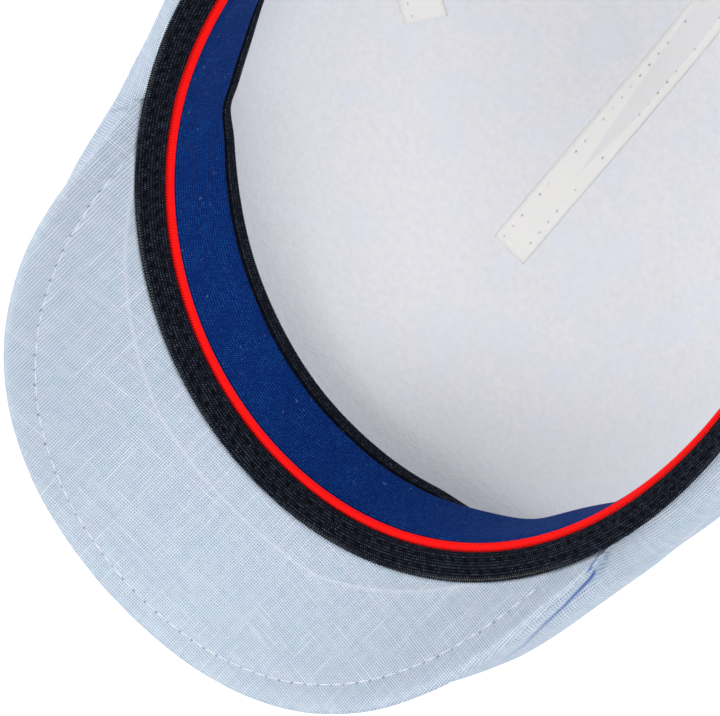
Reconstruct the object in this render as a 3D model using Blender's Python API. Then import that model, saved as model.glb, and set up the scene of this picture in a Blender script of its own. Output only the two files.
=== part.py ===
"""A linen flat cap lying upside down on its crown, with its sweatband, lining and seam tapes.

Lengths are in metres. The cap's own frame has its origin in the middle of the head opening, with
+Z out of the opening and -Y towards the peak. Angles run round the opening from 0 at the front.
"""

import math

import bmesh
import bpy
import numpy as np
from mathutils import Euler, Vector
from mathutils.bvhtree import BVHTree

# The head opening, measured at the edge tape's outer edge. Its sides stand out by the saddle and
# its front and back lie deeper by as much.
RIM_HALF_LENGTH = 0.102
RIM_HALF_WIDTH = 0.079
RIM_SADDLE = 0.006

# The peak, an oval that crosses the rim at its two corners and slants out of the opening.
PEAK_REACH = 0.0373
PEAK_HALF_WIDTH = 0.0728
PEAK_SKEW = 0.0012
PEAK_WIDEST_PLACE = 0.0486
PEAK_SLANT = math.radians(31.0)
PEAK_THICKNESS = 0.0036
PEAK_CORNER_THICKNESS = 0.0012
PEAK_TAPER_LENGTH = 0.013
PEAK_CORNER_REACH = 0.0018
PEAK_TUCK = 0.0030
PEAK_EDGE_ROUNDING = 0.6  # a share of half the peak's thickness

# The crown and its lining. The layers lie further apart at the seam than in the cloth, as a
# multiple of their walls, and further from the peak's corners, as a multiple of the clearance.
# The front's share of the outline fades towards the sides as a power of the cosine.
CROWN_DEPTH = 0.0795
CROWN_SEW_MARGIN = 0.0065
CROWN_WALL = 0.0012
LINING_WALL = 0.0010
SEAM_SPREAD = 1.3
CORNER_EASE = 3.2
FRONT_FADE = 3.0

# The sweatband, which rolls over from the rim and hangs into the crown.
BAND_ROLL_LENGTH = 0.0150
BAND_START_SLOPE = math.radians(30.0)
BAND_END_SLOPE = math.radians(86.0)
EDGE_TAPE_WIDTH = 0.0076
EDGE_TAPE_THICKNESS = 0.0010
PIPING_DIAMETER = 0.0025
PIPING_SINK = 0.5  # how far its middle lies below the band's face, a share of its radius
BLUE_BAND_WIDTH = 0.0175
BLUE_BAND_THICKNESS = 0.0012
BINDING_WIDTH = 0.0033
BINDING_THICKNESS = 0.0016
BAND_LEAN_GROWTH = 1.5  # the power of the distance down the band by which it leans

# The tapes over the crown's seams.
SEAM_TAPE_WIDTH = 0.0100
SEAM_TAPE_THICKNESS = 0.0010

# Room between pieces, and how the cap lies.
CLEARANCE = 0.0003
SEAM_TAPE_CLEARANCE = 1.5 * CLEARANCE
REST_TILT = math.radians(10.0)
REST_FLATTENING = 0.0040

# Counts of sections round the opening, and of steps across the pieces.
FRONT_SECTIONS = 24
BACK_SECTIONS = 36
PEAK_STEPS = 5
CROWN_STEPS = 13
SEAM_TAPE_STEPS = 12
BAND_PATH_STEPS = 24
PIPING_SIDES = 8
HALVINGS = 40
FACE_STEP_SHARE = 0.02  # the step, round and up the crown, by which a face's slope is read

# The crown's outline in three directions, from its sewn edge to the middle of its top. Reach is
# a share of the edge's distance from the middle, rise a share of the height from edge to top.
CROWN_COLUMNS = ("front_reach", "front_rise", "side_reach", "side_rise", "back_reach", "back_rise")
CROWN_ROWS = (
    (1.000, 0.000, 1.000, 0.000, 1.000, 0.000),
    (0.999, 0.040, 1.065, 0.030, 1.035, 0.045),
    (0.992, 0.090, 1.100, 0.070, 1.055, 0.110),
    (0.975, 0.160, 1.117, 0.135, 1.065, 0.195),
    (0.945, 0.250, 1.120, 0.230, 1.062, 0.300),
    (0.895, 0.365, 1.100, 0.350, 1.040, 0.425),
    (0.820, 0.500, 1.040, 0.490, 0.985, 0.565),
    (0.712, 0.640, 0.930, 0.635, 0.890, 0.715),
    (0.575, 0.770, 0.765, 0.775, 0.750, 0.860),
    (0.410, 0.880, 0.535, 0.900, 0.560, 0.975),
    (0.215, 0.960, 0.270, 0.978, 0.300, 1.030),
    (0.000, 1.000, 0.000, 1.000, 0.000, 1.000),
)

# Soft dents and bulges in the crown: where each is, its depth as a share of the crown's depth,
# negative for a bulge, and its half widths. Way up is a share of the way from the sewn edge to
# the middle of the top, and all dents fade out towards that edge.
DENT_FADE_SHARE = 0.12
DENT_COLUMNS = ("degrees", "way_up", "depth", "half_width_degrees", "half_width_up")
DENT_ROWS = (
    (-64, 0.08, -0.050, 9, 0.12),
    (-50, 0.12, 0.030, 7, 0.14),
    (68, 0.10, -0.034, 9, 0.14),
    (47, 0.12, 0.066, 12, 0.14),
    (-80, 0.28, 0.016, 14, 0.14),
    (86, 0.26, 0.012, 13, 0.14),
    (-30, 0.45, 0.014, 26, 0.16),
    (34, 0.50, 0.012, 26, 0.16),
    (140, 0.42, 0.018, 20, 0.20),
    (-146, 0.46, 0.020, 20, 0.20),
)

# Soft rises and falls round the opening: where each is, how high it is and how far it spreads.
ROUND_COLUMNS = ("degrees", "height", "half_width_degrees")

# Waves of the sweatband's loose edge, as how far it leans inwards in shares of the band's width.
WAVE_ROWS = (
    (-24, 0.118, 30),
    (8, 0.045, 18),
    (-82, -0.103, 20),
    (-74, 0.067, 9),
    (-62, -0.037, 3),
    (-52, 0.026, 14),
    (47, -0.093, 13),
    (69, -0.150, 8.4),
    (100, -0.110, 20),
    (120, -0.020, 24),
    (172, -0.030, 30),
    (-120, -0.040, 20),
)

# Where the sweatband lies flatter over the rim before it turns down, as what this adds to the
# power of its roll.
SHOULDER_ROWS = (
    (62, 1.03, 47),
    (-92, 2.0, 17),
)

# Seam tapes: the ends of each, as shares of the opening's half width and half length and of the
# crown's depth, and the depth of the point in the hollow from which they are laid on the lining.
TAPE_EYE_SHARE = 0.25
TAPE_COLUMNS = ("name", "start_x", "start_y", "start_depth", "end_x", "end_y", "end_depth")
TAPE_ROWS = (
    ("seam_tape_centre", 0.0, -0.452, 0.835, 0.0, 1.02, 0.30),
    ("seam_tape_left", -0.62, -0.145, 0.805, -1.05, 0.45, 0.26),
    ("seam_tape_right", 0.62, -0.145, 0.805, 1.05, 0.45, 0.26),
)

COLOURS = {
    "linen": (0.53, 0.63, 0.74),
    "lining": (0.78, 0.79, 0.82),
    "seam_tape": (0.86, 0.86, 0.85),
    "black_tape": (0.010, 0.012, 0.020),
    "red_piping": (0.85, 0.012, 0.010),
    "blue_knit": (0.005, 0.026, 0.155),
}

BLUE_START = EDGE_TAPE_WIDTH + PIPING_DIAMETER + 2 * CLEARANCE
BINDING_START = BLUE_START + BLUE_BAND_WIDTH + CLEARANCE
BAND_WIDTH = BINDING_START + BINDING_WIDTH
UNDER_TAPE = EDGE_TAPE_THICKNESS + CLEARANCE


def wrapped(angle):
    return (angle + math.pi) % (2 * math.pi) - math.pi


def with_height(plan, height):
    return np.concatenate([plan, np.asarray(height)[..., None]], -1)


def unit(vectors):
    return vectors / np.linalg.norm(vectors, axis=-1, keepdims=True)


def rim_height(angle):
    return -RIM_SADDLE * np.cos(2 * angle)


def rim_points(angle):
    """The edge of the opening, and the direction straight out from it in plan."""
    plan = np.stack([RIM_HALF_WIDTH * np.sin(angle), -RIM_HALF_LENGTH * np.cos(angle)], -1)
    outward = np.stack([RIM_HALF_LENGTH * np.sin(angle), -RIM_HALF_WIDTH * np.cos(angle)], -1)
    return with_height(plan, rim_height(angle)), unit(outward)


def around(angle, rows):
    """What the rises and falls of a table round the opening add up to at an angle."""
    total = np.zeros_like(angle)
    for row in rows:
        rise = dict(zip(ROUND_COLUMNS, row))
        offset = wrapped(angle - math.radians(rise["degrees"]))
        spread = math.radians(rise["half_width_degrees"])
        total += rise["height"] * np.exp(-((offset / spread) ** 2))
    return total


def band_path(angle, distance):
    """How far inwards and down the sweatband's face has come, and how steep it is there."""
    distance = distance + np.zeros_like(angle)
    steps = np.linspace(0.0, distance, BAND_PATH_STEPS)
    share = np.clip(steps / BAND_ROLL_LENGTH, 0.0, 1.0)
    power = 1 + around(angle, SHOULDER_ROWS)
    turned = np.sin(share * math.pi / 2) ** power
    slope = BAND_START_SLOPE + (BAND_END_SLOPE - BAND_START_SLOPE) * turned
    middles = (slope[1:] + slope[:-1]) / 2
    step = distance / len(middles)
    return step * np.cos(middles).sum(0), step * np.sin(middles).sum(0), slope[-1]


def band_lean(angle):
    """How far the sweatband's loose edge leans inwards."""
    return around(angle, WAVE_ROWS) * BAND_WIDTH


def band_points(angle, distance, below):
    """Points a distance down the sweatband's face from the rim, and below that face."""
    rim, outward = rim_points(angle)
    inward, depth, slope = band_path(angle, distance)
    loose = np.maximum(0.0, (distance - BLUE_START) / (BAND_WIDTH - BLUE_START))
    inward = inward - below * np.sin(slope) + band_lean(angle) * loose**BAND_LEAN_GROWTH
    plan = rim[..., :2] - outward * inward[..., None]
    return with_height(plan, rim[..., 2] - depth - below * np.cos(slope))


def band_normal(angle):
    """Where the sweatband's face looks at the rim."""
    _, outward = rim_points(angle)
    height = np.full(angle.shape, math.cos(BAND_START_SLOPE))
    return with_height(-outward * math.sin(BAND_START_SLOPE), height)


def peak_oval(turn):
    """The peak's outline in plan. The turn is 0 at its front and 90 degrees where it is widest."""
    length = RIM_HALF_LENGTH + PEAK_REACH - PEAK_WIDEST_PLACE
    x = PEAK_HALF_WIDTH * np.sin(turn) - PEAK_SKEW * np.maximum(np.cos(turn), 0.0)
    y = -PEAK_WIDEST_PLACE - length * np.cos(turn)
    return np.stack([x, y], -1)


def find_peak_corner():
    """The turn of the peak's oval, and the angle of the rim, where the two ovals cross."""
    outside, inside = math.radians(45), math.radians(135)
    for _ in range(HALVINGS):
        turn = (outside + inside) / 2
        x, y = peak_oval(np.float64(turn))
        if (x / RIM_HALF_WIDTH) ** 2 + (y / RIM_HALF_LENGTH) ** 2 > 1:
            outside = turn
        else:
            inside = turn
    return turn, math.atan2(x / RIM_HALF_WIDTH, -y / RIM_HALF_LENGTH)


CORNER_TURN, CORNER_ANGLE = find_peak_corner()


def find_peak_bend():
    """The sideways bend of the peak that brings its corners to the rim's height."""
    x, y = peak_oval(np.float64(CORNER_TURN))
    drop = math.tan(PEAK_SLANT) * (RIM_HALF_LENGTH + y)
    return (rim_height(CORNER_ANGLE) + RIM_SADDLE + drop) / x**2


PEAK_BEND = float(find_peak_bend())


def peak_frame(angle):
    """The peak's under face at angles of the rim: its root, outline, normals and thickness."""
    rim, outward = rim_points(angle)
    plan = peak_oval(angle * CORNER_TURN / CORNER_ANGLE)
    gap = ((plan - rim[..., :2]) * outward).sum(-1)
    plan = plan + outward * np.maximum(PEAK_CORNER_REACH - gap, 0.0)[..., None]
    root = band_points(angle, 0.0, UNDER_TAPE)
    share = np.clip(np.linalg.norm(plan - root[..., :2], axis=-1) / PEAK_TAPER_LENGTH, 0.0, 1.0)
    x, y = plan[..., 0], plan[..., 1]
    height = -RIM_SADDLE + math.tan(PEAK_SLANT) * (-y - RIM_HALF_LENGTH) + PEAK_BEND * x**2
    edge = with_height(plan, height - UNDER_TAPE * (1 - share))
    slope = np.full(x.shape, math.tan(PEAK_SLANT))
    level = unit(np.stack([-2 * PEAK_BEND * x, slope, np.ones_like(x)], -1))
    normal = unit(band_normal(angle) * (1 - share[..., None]) + level * share[..., None])
    thickness = PEAK_CORNER_THICKNESS + (PEAK_THICKNESS - PEAK_CORNER_THICKNESS) * share
    return root, edge, normal, thickness


def crown_edge(angle, inset=0.0):
    """The sewn edge of a layer of the crown: along the peak's back, or under the edge tape."""
    side = wrapped(angle)
    held = np.clip(side, -CORNER_ANGLE, CORNER_ANGLE)
    root, edge, normal, thickness = peak_frame(held)
    away = edge - root
    length = np.linalg.norm(away, axis=-1)
    place = np.maximum(length - CROWN_SEW_MARGIN, -CROWN_WALL) - inset * SEAM_SPREAD
    outer = root + unit(away) * np.maximum(place, 0.0)[..., None]
    inner = band_points(held, np.maximum(-place, 0.0), UNDER_TAPE)
    on_peak = np.where((place > 0)[..., None], outer, inner)
    near_corner = (PEAK_THICKNESS - thickness) / (PEAK_THICKNESS - PEAK_CORNER_THICKNESS)
    gap = CLEARANCE * (1 + CORNER_EASE * near_corner)
    on_peak = on_peak - normal * (thickness + gap)[..., None]
    under_tape = band_points(angle, CROWN_WALL + inset * SEAM_SPREAD, UNDER_TAPE + CLEARANCE)
    return np.where((np.abs(side) < CORNER_ANGLE + 1e-6)[..., None], on_peak, under_tape)


def crown_row(way_up):
    """The crown's outline at one height, read from the table along a smooth curve."""
    last = len(CROWN_ROWS) - 1
    place = min(max(way_up, 0.0), 1.0) * last
    first = min(int(place), last - 1)
    share = place - first
    before, start, end, after = (
        np.array(CROWN_ROWS[min(max(first + k, 0), last)]) for k in (-1, 0, 1, 2)
    )
    leave, arrive = (end - before) / 2, (after - start) / 2
    square, cube = share**2, share**3
    row = start * (2 * cube - 3 * square + 1) + end * (3 * square - 2 * cube)
    row += leave * (cube - 2 * square + share) + arrive * (cube - square)
    return dict(zip(CROWN_COLUMNS, row))


def crown_dents(angle, way_up):
    depth = np.zeros_like(angle)
    for row in DENT_ROWS:
        dent = dict(zip(DENT_COLUMNS, row))
        across = wrapped(angle - math.radians(dent["degrees"]))
        across = across / math.radians(dent["half_width_degrees"])
        up = (way_up - dent["way_up"]) / dent["half_width_up"]
        depth += dent["depth"] * CROWN_DEPTH * np.exp(-(across**2) - up**2)
    return depth * min(way_up / DENT_FADE_SHARE, 1.0)


def crown_unpressed(angle, way_up):
    """The crown's outer face before it is flattened where it rests."""
    row = crown_row(way_up)
    front = np.maximum(np.cos(angle), 0.0) ** FRONT_FADE
    back = np.maximum(-np.cos(angle), 0.0) ** 2
    side = 1 - front - back
    reach = front * row["front_reach"] + side * row["side_reach"] + back * row["back_reach"]
    rise = front * row["front_rise"] + side * row["side_rise"] + back * row["back_rise"]
    edge = crown_edge(angle)
    distance = np.linalg.norm(edge[..., :2], axis=-1)
    reach = reach - crown_dents(angle, way_up) / distance
    height = edge[..., 2] + (-CROWN_DEPTH - edge[..., 2]) * rise
    return with_height(edge[..., :2] * reach[..., None], height)


REST_NORMAL = np.array([0.0, math.sin(REST_TILT), math.cos(REST_TILT)])


def find_floor():
    """The height of the surface that the crown rests on, along the normal of that surface."""
    angle = np.linspace(-math.pi, math.pi, 181)
    heights = [(crown_unpressed(angle, w) @ REST_NORMAL).min() for w in np.linspace(0.5, 1.0, 51)]
    return float(min(heights)) + REST_FLATTENING


FLOOR = find_floor()


def crown_face(angle, way_up):
    """The crown's outer face, flattened where it rests."""
    points = crown_unpressed(angle, way_up)
    sunk = np.maximum(FLOOR - points @ REST_NORMAL, 0.0)
    return points + sunk[..., None] * REST_NORMAL


def crown_layer(angle, way_up, inset):
    """A face parallel to the crown's outer face and inside it."""
    if way_up == 0:
        return crown_edge(angle, inset)
    step = FACE_STEP_SHARE
    up_it = crown_face(angle, way_up + step) - crown_face(angle, way_up - step)
    round_it = crown_face(angle + step, way_up) - crown_face(angle - step, way_up)
    return crown_face(angle, way_up) - unit(np.cross(up_it, round_it)) * inset


def crown_top(inset):
    """The middle of a layer's top."""
    top = np.array([0.0, 0.0, -CROWN_DEPTH])
    sunk = max(FLOOR - float(top @ REST_NORMAL), 0.0)
    return top + REST_NORMAL * (sunk + inset)


def section_angles():
    """Angles round the whole opening, with a section at each corner of the peak."""
    front = np.linspace(-CORNER_ANGLE, CORNER_ANGLE, FRONT_SECTIONS + 1)
    back = np.linspace(CORNER_ANGLE, 2 * math.pi - CORNER_ANGLE, BACK_SECTIONS + 1)
    return np.concatenate([front, back[1:]])


def clear_scene():
    for obj in list(bpy.data.objects):
        bpy.data.objects.remove(obj)


def cloth_material(name):
    material = bpy.data.materials.new(name)
    material.use_nodes = True
    shader = material.node_tree.nodes["Principled BSDF"]
    shader.inputs["Base Color"].default_value = (*COLOURS[name], 1.0)
    shader.inputs["Roughness"].default_value = 0.9
    shader.inputs["Metallic"].default_value = 0.0
    return material


def make_body(name, rows, material, parent):
    """A closed body from rows of points. Rows or ends that meet are joined and the rest capped."""
    count, width = rows.shape[:2]
    mesh = bmesh.new()
    verts = bmesh.ops.create_grid(mesh, x_segments=width - 1, y_segments=count - 1)["verts"]
    for vert, place in zip(verts, rows.reshape(-1, 3)):
        vert.co = place
    bmesh.ops.remove_doubles(mesh, verts=mesh.verts, dist=1e-6)
    bmesh.ops.holes_fill(mesh, edges=mesh.edges, sides=0)
    bmesh.ops.recalc_face_normals(mesh, faces=mesh.faces)
    bmesh.ops.triangulate(mesh, faces=mesh.faces, quad_method="FIXED")
    data = bpy.data.meshes.new(name)
    mesh.to_mesh(data)
    mesh.free()
    data.shade_smooth()
    data.set_sharp_from_angle(angle=math.radians(45))
    data.materials.append(material)
    obj = bpy.data.objects.new(name, data)
    bpy.context.scene.collection.objects.link(obj)
    obj.parent = parent
    return obj


def make_shell(name, first_inset, second_inset, material, parent):
    """A bowl between two layers of the crown, open at the head opening."""
    angles = section_angles()
    ways = [step / CROWN_STEPS for step in range(CROWN_STEPS)]
    first = [crown_layer(angles, way, first_inset) for way in reversed(ways)]
    second = [crown_layer(angles, way, second_inset) for way in ways]
    first_top = np.tile(crown_top(first_inset), (len(angles), 1))
    second_top = np.tile(crown_top(second_inset), (len(angles), 1))
    rows = np.stack([first_top, *first, *second, second_top])
    return make_body(name, rows, material, parent)


def make_strip(name, outline, material, parent):
    """A closed strip of the sweatband. The outline lists distances down it and below its face."""
    angles = section_angles()
    rows = [band_points(angles, distance, below) for distance, below in outline + outline[:1]]
    return make_body(name, np.stack(rows), material, parent)


def flat_outline(start, width, thickness, steps):
    along = [start + width * k / steps for k in range(steps + 1)]
    return [(place, 0.0) for place in along] + [(place, thickness) for place in reversed(along)]


def cord_outline(middle, radius):
    """A round cord that stands a little proud of the sweatband's face."""
    turns = [2 * math.pi * k / PIPING_SIDES for k in range(PIPING_SIDES)]
    return [(middle + radius * math.cos(a), radius * (PIPING_SINK + math.sin(a))) for a in turns]


def make_peak(material, parent):
    """The stiff peak, from its tuck under the edge tape to its rounded outer edge."""
    angles = np.linspace(-CORNER_ANGLE, CORNER_ANGLE, FRONT_SECTIONS + 1)
    root, edge, normal, thickness = peak_frame(angles)
    tuck = band_points(angles, PEAK_TUCK, UNDER_TAPE)
    half = thickness[..., None] / 2
    away = edge - root
    rounding = away - unit(away) * half * PEAK_EDGE_ROUNDING
    upper = [tuck] + [root + rounding * k / PEAK_STEPS for k in range(PEAK_STEPS + 1)]
    lower = [points - normal * 2 * half for points in reversed(upper)]
    rows = np.stack(upper + [edge - normal * half] + lower + upper[:1])
    return make_body("peak", rows, material, parent)


def make_seam_tape(row, lining, material, parent):
    """A tape over a seam, laid on the lining from inside the hollow."""
    tape = dict(zip(TAPE_COLUMNS, row))
    scale = Vector((RIM_HALF_WIDTH, RIM_HALF_LENGTH, -CROWN_DEPTH))
    eye = Vector((0, 0, -CROWN_DEPTH * TAPE_EYE_SHARE))
    start = Vector((tape["start_x"], tape["start_y"], tape["start_depth"])) * scale - eye
    end = Vector((tape["end_x"], tape["end_y"], tape["end_depth"])) * scale - eye
    across = start.cross(end).normalized()
    columns = []
    for k in range(SEAM_TAPE_STEPS + 1):
        aim = start.normalized().slerp(end.normalized(), k / SEAM_TAPE_STEPS)
        middle = lining.ray_cast(eye, aim)[0]
        low, high = [], []
        for side in (-0.5, 0.0, 0.5):
            target = middle + across * side * SEAM_TAPE_WIDTH
            place, normal, _, _ = lining.ray_cast(eye, (target - eye).normalized())
            low.append(place + normal * SEAM_TAPE_CLEARANCE)
            high.append(place + normal * (SEAM_TAPE_CLEARANCE + SEAM_TAPE_THICKNESS))
        columns.append(low + high[::-1] + low[:1])
    rows = np.array([[tuple(point) for point in column] for column in columns])
    return make_body(tape["name"], rows.transpose(1, 0, 2), material, parent)


def stand_on_floor(parent, objects):
    """Tilts the cap on its crown, with the origin under the middle of its outline."""
    parent.rotation_euler = Euler((REST_TILT, 0, 0))
    turn = parent.rotation_euler.to_matrix()
    corners = [turn @ vert.co for obj in objects for vert in obj.data.vertices]
    middle = [(min(c[k] for c in corners) + max(c[k] for c in corners)) / 2 for k in (0, 1)]
    parent.location = (-middle[0], -middle[1], -min(c.z for c in corners))


def main():
    clear_scene()
    parent = bpy.data.objects.new("cap_at_rest", None)
    bpy.context.scene.collection.objects.link(parent)
    cloth = {name: cloth_material(name) for name in COLOURS}
    radius = PIPING_DIAMETER / 2
    edge_tape = flat_outline(0.0, EDGE_TAPE_WIDTH, EDGE_TAPE_THICKNESS, 2)
    cord = cord_outline(EDGE_TAPE_WIDTH + CLEARANCE + radius, radius)
    band = flat_outline(BLUE_START, BLUE_BAND_WIDTH, BLUE_BAND_THICKNESS, 3)
    binding = flat_outline(BINDING_START, BINDING_WIDTH, BINDING_THICKNESS, 1)
    lining_back = CROWN_WALL + CLEARANCE
    lining_face = lining_back + LINING_WALL
    lining = make_shell("crown_lining", lining_face, lining_back, cloth["lining"], parent)
    objects = [
        lining,
        make_shell("crown", 0.0, CROWN_WALL, cloth["linen"], parent),
        make_peak(cloth["linen"], parent),
        make_strip("sweatband_edge_tape", edge_tape, cloth["black_tape"], parent),
        make_strip("red_piping", cord, cloth["red_piping"], parent),
        make_strip("blue_band", band, cloth["blue_knit"], parent),
        make_strip("inner_binding", binding, cloth["black_tape"], parent),
    ]
    lining_faces = BVHTree.FromPolygons(
        [vert.co for vert in lining.data.vertices],
        [face.vertices[:] for face in lining.data.polygons],
    )
    objects += [make_seam_tape(row, lining_faces, cloth["seam_tape"], parent) for row in TAPE_ROWS]
    stand_on_floor(parent, objects)


main()
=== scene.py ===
"""A linen flat cap lying upside down on its crown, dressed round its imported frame.

Lengths are in metres. The cap's own frame has its origin in the middle of the head opening, with
+Z out of the opening and -Y towards the peak, and angles run round the opening from 0 at the
front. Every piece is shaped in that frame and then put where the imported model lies.
"""

import math

import bmesh
import bpy
import numpy as np
from mathutils import Matrix, Vector, noise
from mathutils.bvhtree import BVHTree


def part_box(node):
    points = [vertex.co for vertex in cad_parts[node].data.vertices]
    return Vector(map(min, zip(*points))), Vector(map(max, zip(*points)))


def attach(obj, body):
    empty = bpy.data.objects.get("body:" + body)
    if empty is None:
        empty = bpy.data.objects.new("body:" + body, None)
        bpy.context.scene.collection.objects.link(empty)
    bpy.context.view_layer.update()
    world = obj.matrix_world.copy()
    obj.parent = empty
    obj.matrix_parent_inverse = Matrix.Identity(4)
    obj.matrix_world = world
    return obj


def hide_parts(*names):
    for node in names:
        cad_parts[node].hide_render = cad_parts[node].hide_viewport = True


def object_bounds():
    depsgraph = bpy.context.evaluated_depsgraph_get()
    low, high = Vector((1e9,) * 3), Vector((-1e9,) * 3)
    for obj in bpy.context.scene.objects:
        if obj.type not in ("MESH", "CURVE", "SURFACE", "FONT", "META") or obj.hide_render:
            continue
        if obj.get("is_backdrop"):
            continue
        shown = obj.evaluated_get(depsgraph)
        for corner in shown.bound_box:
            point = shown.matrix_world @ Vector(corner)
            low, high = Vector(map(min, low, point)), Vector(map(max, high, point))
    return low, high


bl_info = {
    "name": "Linen Flat Cap",
    "version": (1, 0, 0),
    "blender": (4, 5, 0),
    "location": "View3D > Sidebar > Flat Cap",
    "description": "Dresses a flat cap in linen, felt, tape and stitching",
    "category": "Object",
}

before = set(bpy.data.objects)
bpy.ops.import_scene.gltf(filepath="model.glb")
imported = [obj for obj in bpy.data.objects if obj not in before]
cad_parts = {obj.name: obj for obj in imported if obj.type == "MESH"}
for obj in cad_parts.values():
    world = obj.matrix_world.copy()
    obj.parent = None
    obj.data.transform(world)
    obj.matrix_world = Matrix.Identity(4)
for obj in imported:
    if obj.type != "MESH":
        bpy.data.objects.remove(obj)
CAD_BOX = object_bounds()

# Where the cap's own origin lies from the middle of the edge tape's box.
OPENING_FROM_TAPE_MIDDLE = Vector((0.0, -0.00119, 0.00824))

# Soft rises and falls round the opening: where each is, how high it is and how far it spreads.
ROUND_COLUMNS = ("degrees", "height", "half_width_degrees")

# Waves of the sweatband's loose edge, as how far it leans inwards in shares of the band's width.
WAVE_ROWS = (
    (-24, 0.118, 30),
    (8, 0.045, 18),
    (-82, -0.103, 20),
    (-74, 0.067, 9),
    (-62, -0.037, 3),
    (-52, 0.026, 14),
    (47, -0.093, 13),
    (69, -0.150, 8.4),
    (100, -0.110, 20),
    (120, -0.020, 24),
    (172, -0.030, 30),
    (-120, -0.040, 20),
)

# Where the sweatband lies flatter over the rim before it turns down, as what this adds to the
# power of its roll.
SHOULDER_ROWS = (
    (62, 1.03, 47),
    (-92, 2.0, 17),
)

# The crown's three seams and the tapes over them: the ends of each, as shares of the opening's
# half width and half length and of the crown's depth.
SEAM_COLUMNS = ("name", "start_x", "start_y", "start_depth", "end_x", "end_y", "end_depth")
SEAM_ROWS = (
    ("seam_tape_centre", 0.0, -0.452, 0.835, 0.0, 1.02, 0.30),
    ("seam_tape_left", -0.62, -0.145, 0.805, -1.05, 0.45, 0.26),
    ("seam_tape_right", 0.62, -0.145, 0.805, 1.05, 0.45, 0.26),
)


def length(name, description, default):
    return bpy.props.FloatProperty(
        name=name, description=description, default=default, min=0.0, precision=5,
        unit="LENGTH", subtype="DISTANCE",
    )


def angle(name, description, degrees):
    return bpy.props.FloatProperty(
        name=name, description=description, default=math.radians(degrees), subtype="ANGLE",
    )


def amount(name, description, default):
    return bpy.props.FloatProperty(
        name=name, description=description, default=default, min=0.0,
    )


def colour(name, description, default):
    return bpy.props.FloatVectorProperty(
        name=name, description=description, default=default, size=3, min=0.0, max=1.0,
        subtype="COLOR",
    )


class CapSizes(bpy.types.PropertyGroup):
    half_length: length("Opening half length", "Middle of the opening to its front", 0.102)
    half_width: length("Opening half width", "Middle of the opening to its side", 0.079)
    saddle: length("Saddle", "How far the sides of the opening stand out", 0.006)
    rest_tilt: angle("Rest tilt", "How far the peak side lies lower", 10.0)
    crown_depth: length("Crown depth", "From the opening to the middle of the crown's top", 0.0795)
    peak_reach: length("Peak reach", "How far the peak stands out in plan", 0.0373)
    peak_half_width: length("Peak half width", "Middle of the peak to its side", 0.0728)
    peak_skew: length("Peak skew", "How far the peak's front leans to one side", 0.0012)
    peak_widest_place: length("Peak's widest place", "From the opening's middle", 0.0486)
    peak_slant: angle("Peak slant", "How steeply the peak leans out of the opening", 31.0)


class BandSizes(bpy.types.PropertyGroup):
    roll_length: length("Roll length", "How much of the sweatband rolls over the rim", 0.015)
    start_slope: angle("Slope at the rim", "How steep the sweatband is at the rim", 30.0)
    end_slope: angle("Slope inside", "How steep the sweatband hangs inside", 86.0)
    edge_tape_width: length("Edge tape width", "Width of the black edge tape", 0.0076)
    edge_tape_thickness: length("Edge tape thickness", "Thickness of the edge tape", 0.0010)
    piping_diameter: length("Piping diameter", "Thickness of the red cord", 0.0025)
    blue_width: length("Blue band width", "Width of the ribbed blue band", 0.0175)
    blue_thickness: length("Blue band thickness", "Thickness of the blue band", 0.0012)
    binding_width: length("Binding width", "Width of the black binding", 0.0033)
    binding_thickness: length("Binding thickness", "Thickness of the binding", 0.0016)
    gap: length("Gap", "Room between one strip and the next", 0.0003)
    rib_pitch: length("Rib pitch", "From one cross rib of the tapes to the next", 0.0006)
    column_pitch: length("Column pitch", "From one long rib of the blue band to the next", 0.00078)


class StitchSizes(bpy.types.PropertyGroup):
    pitch: length("Stitch pitch", "From one stitch to the next", 0.0037)
    thread: length("Thread", "Thickness of the sewing thread", 0.00026)
    peak_inset: length("Peak stitch inset", "Topstitching from the peak's edge in plan", 0.0046)
    seam_tape_width: length("Seam tape width", "Width of the tapes over the seams", 0.0100)
    seam_tape_thickness: length("Seam tape thickness", "Thickness of those tapes", 0.00009)
    seam_tape_gap: length("Seam tape gap", "Room between a seam tape and the felt", 0.00003)
    seam_tape_inset: length("Seam stitch inset", "Needle holes from a seam tape's edge", 0.0021)
    linen_pitch: length("Linen pitch", "From one thread of the linen to the next", 0.00056)


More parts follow.
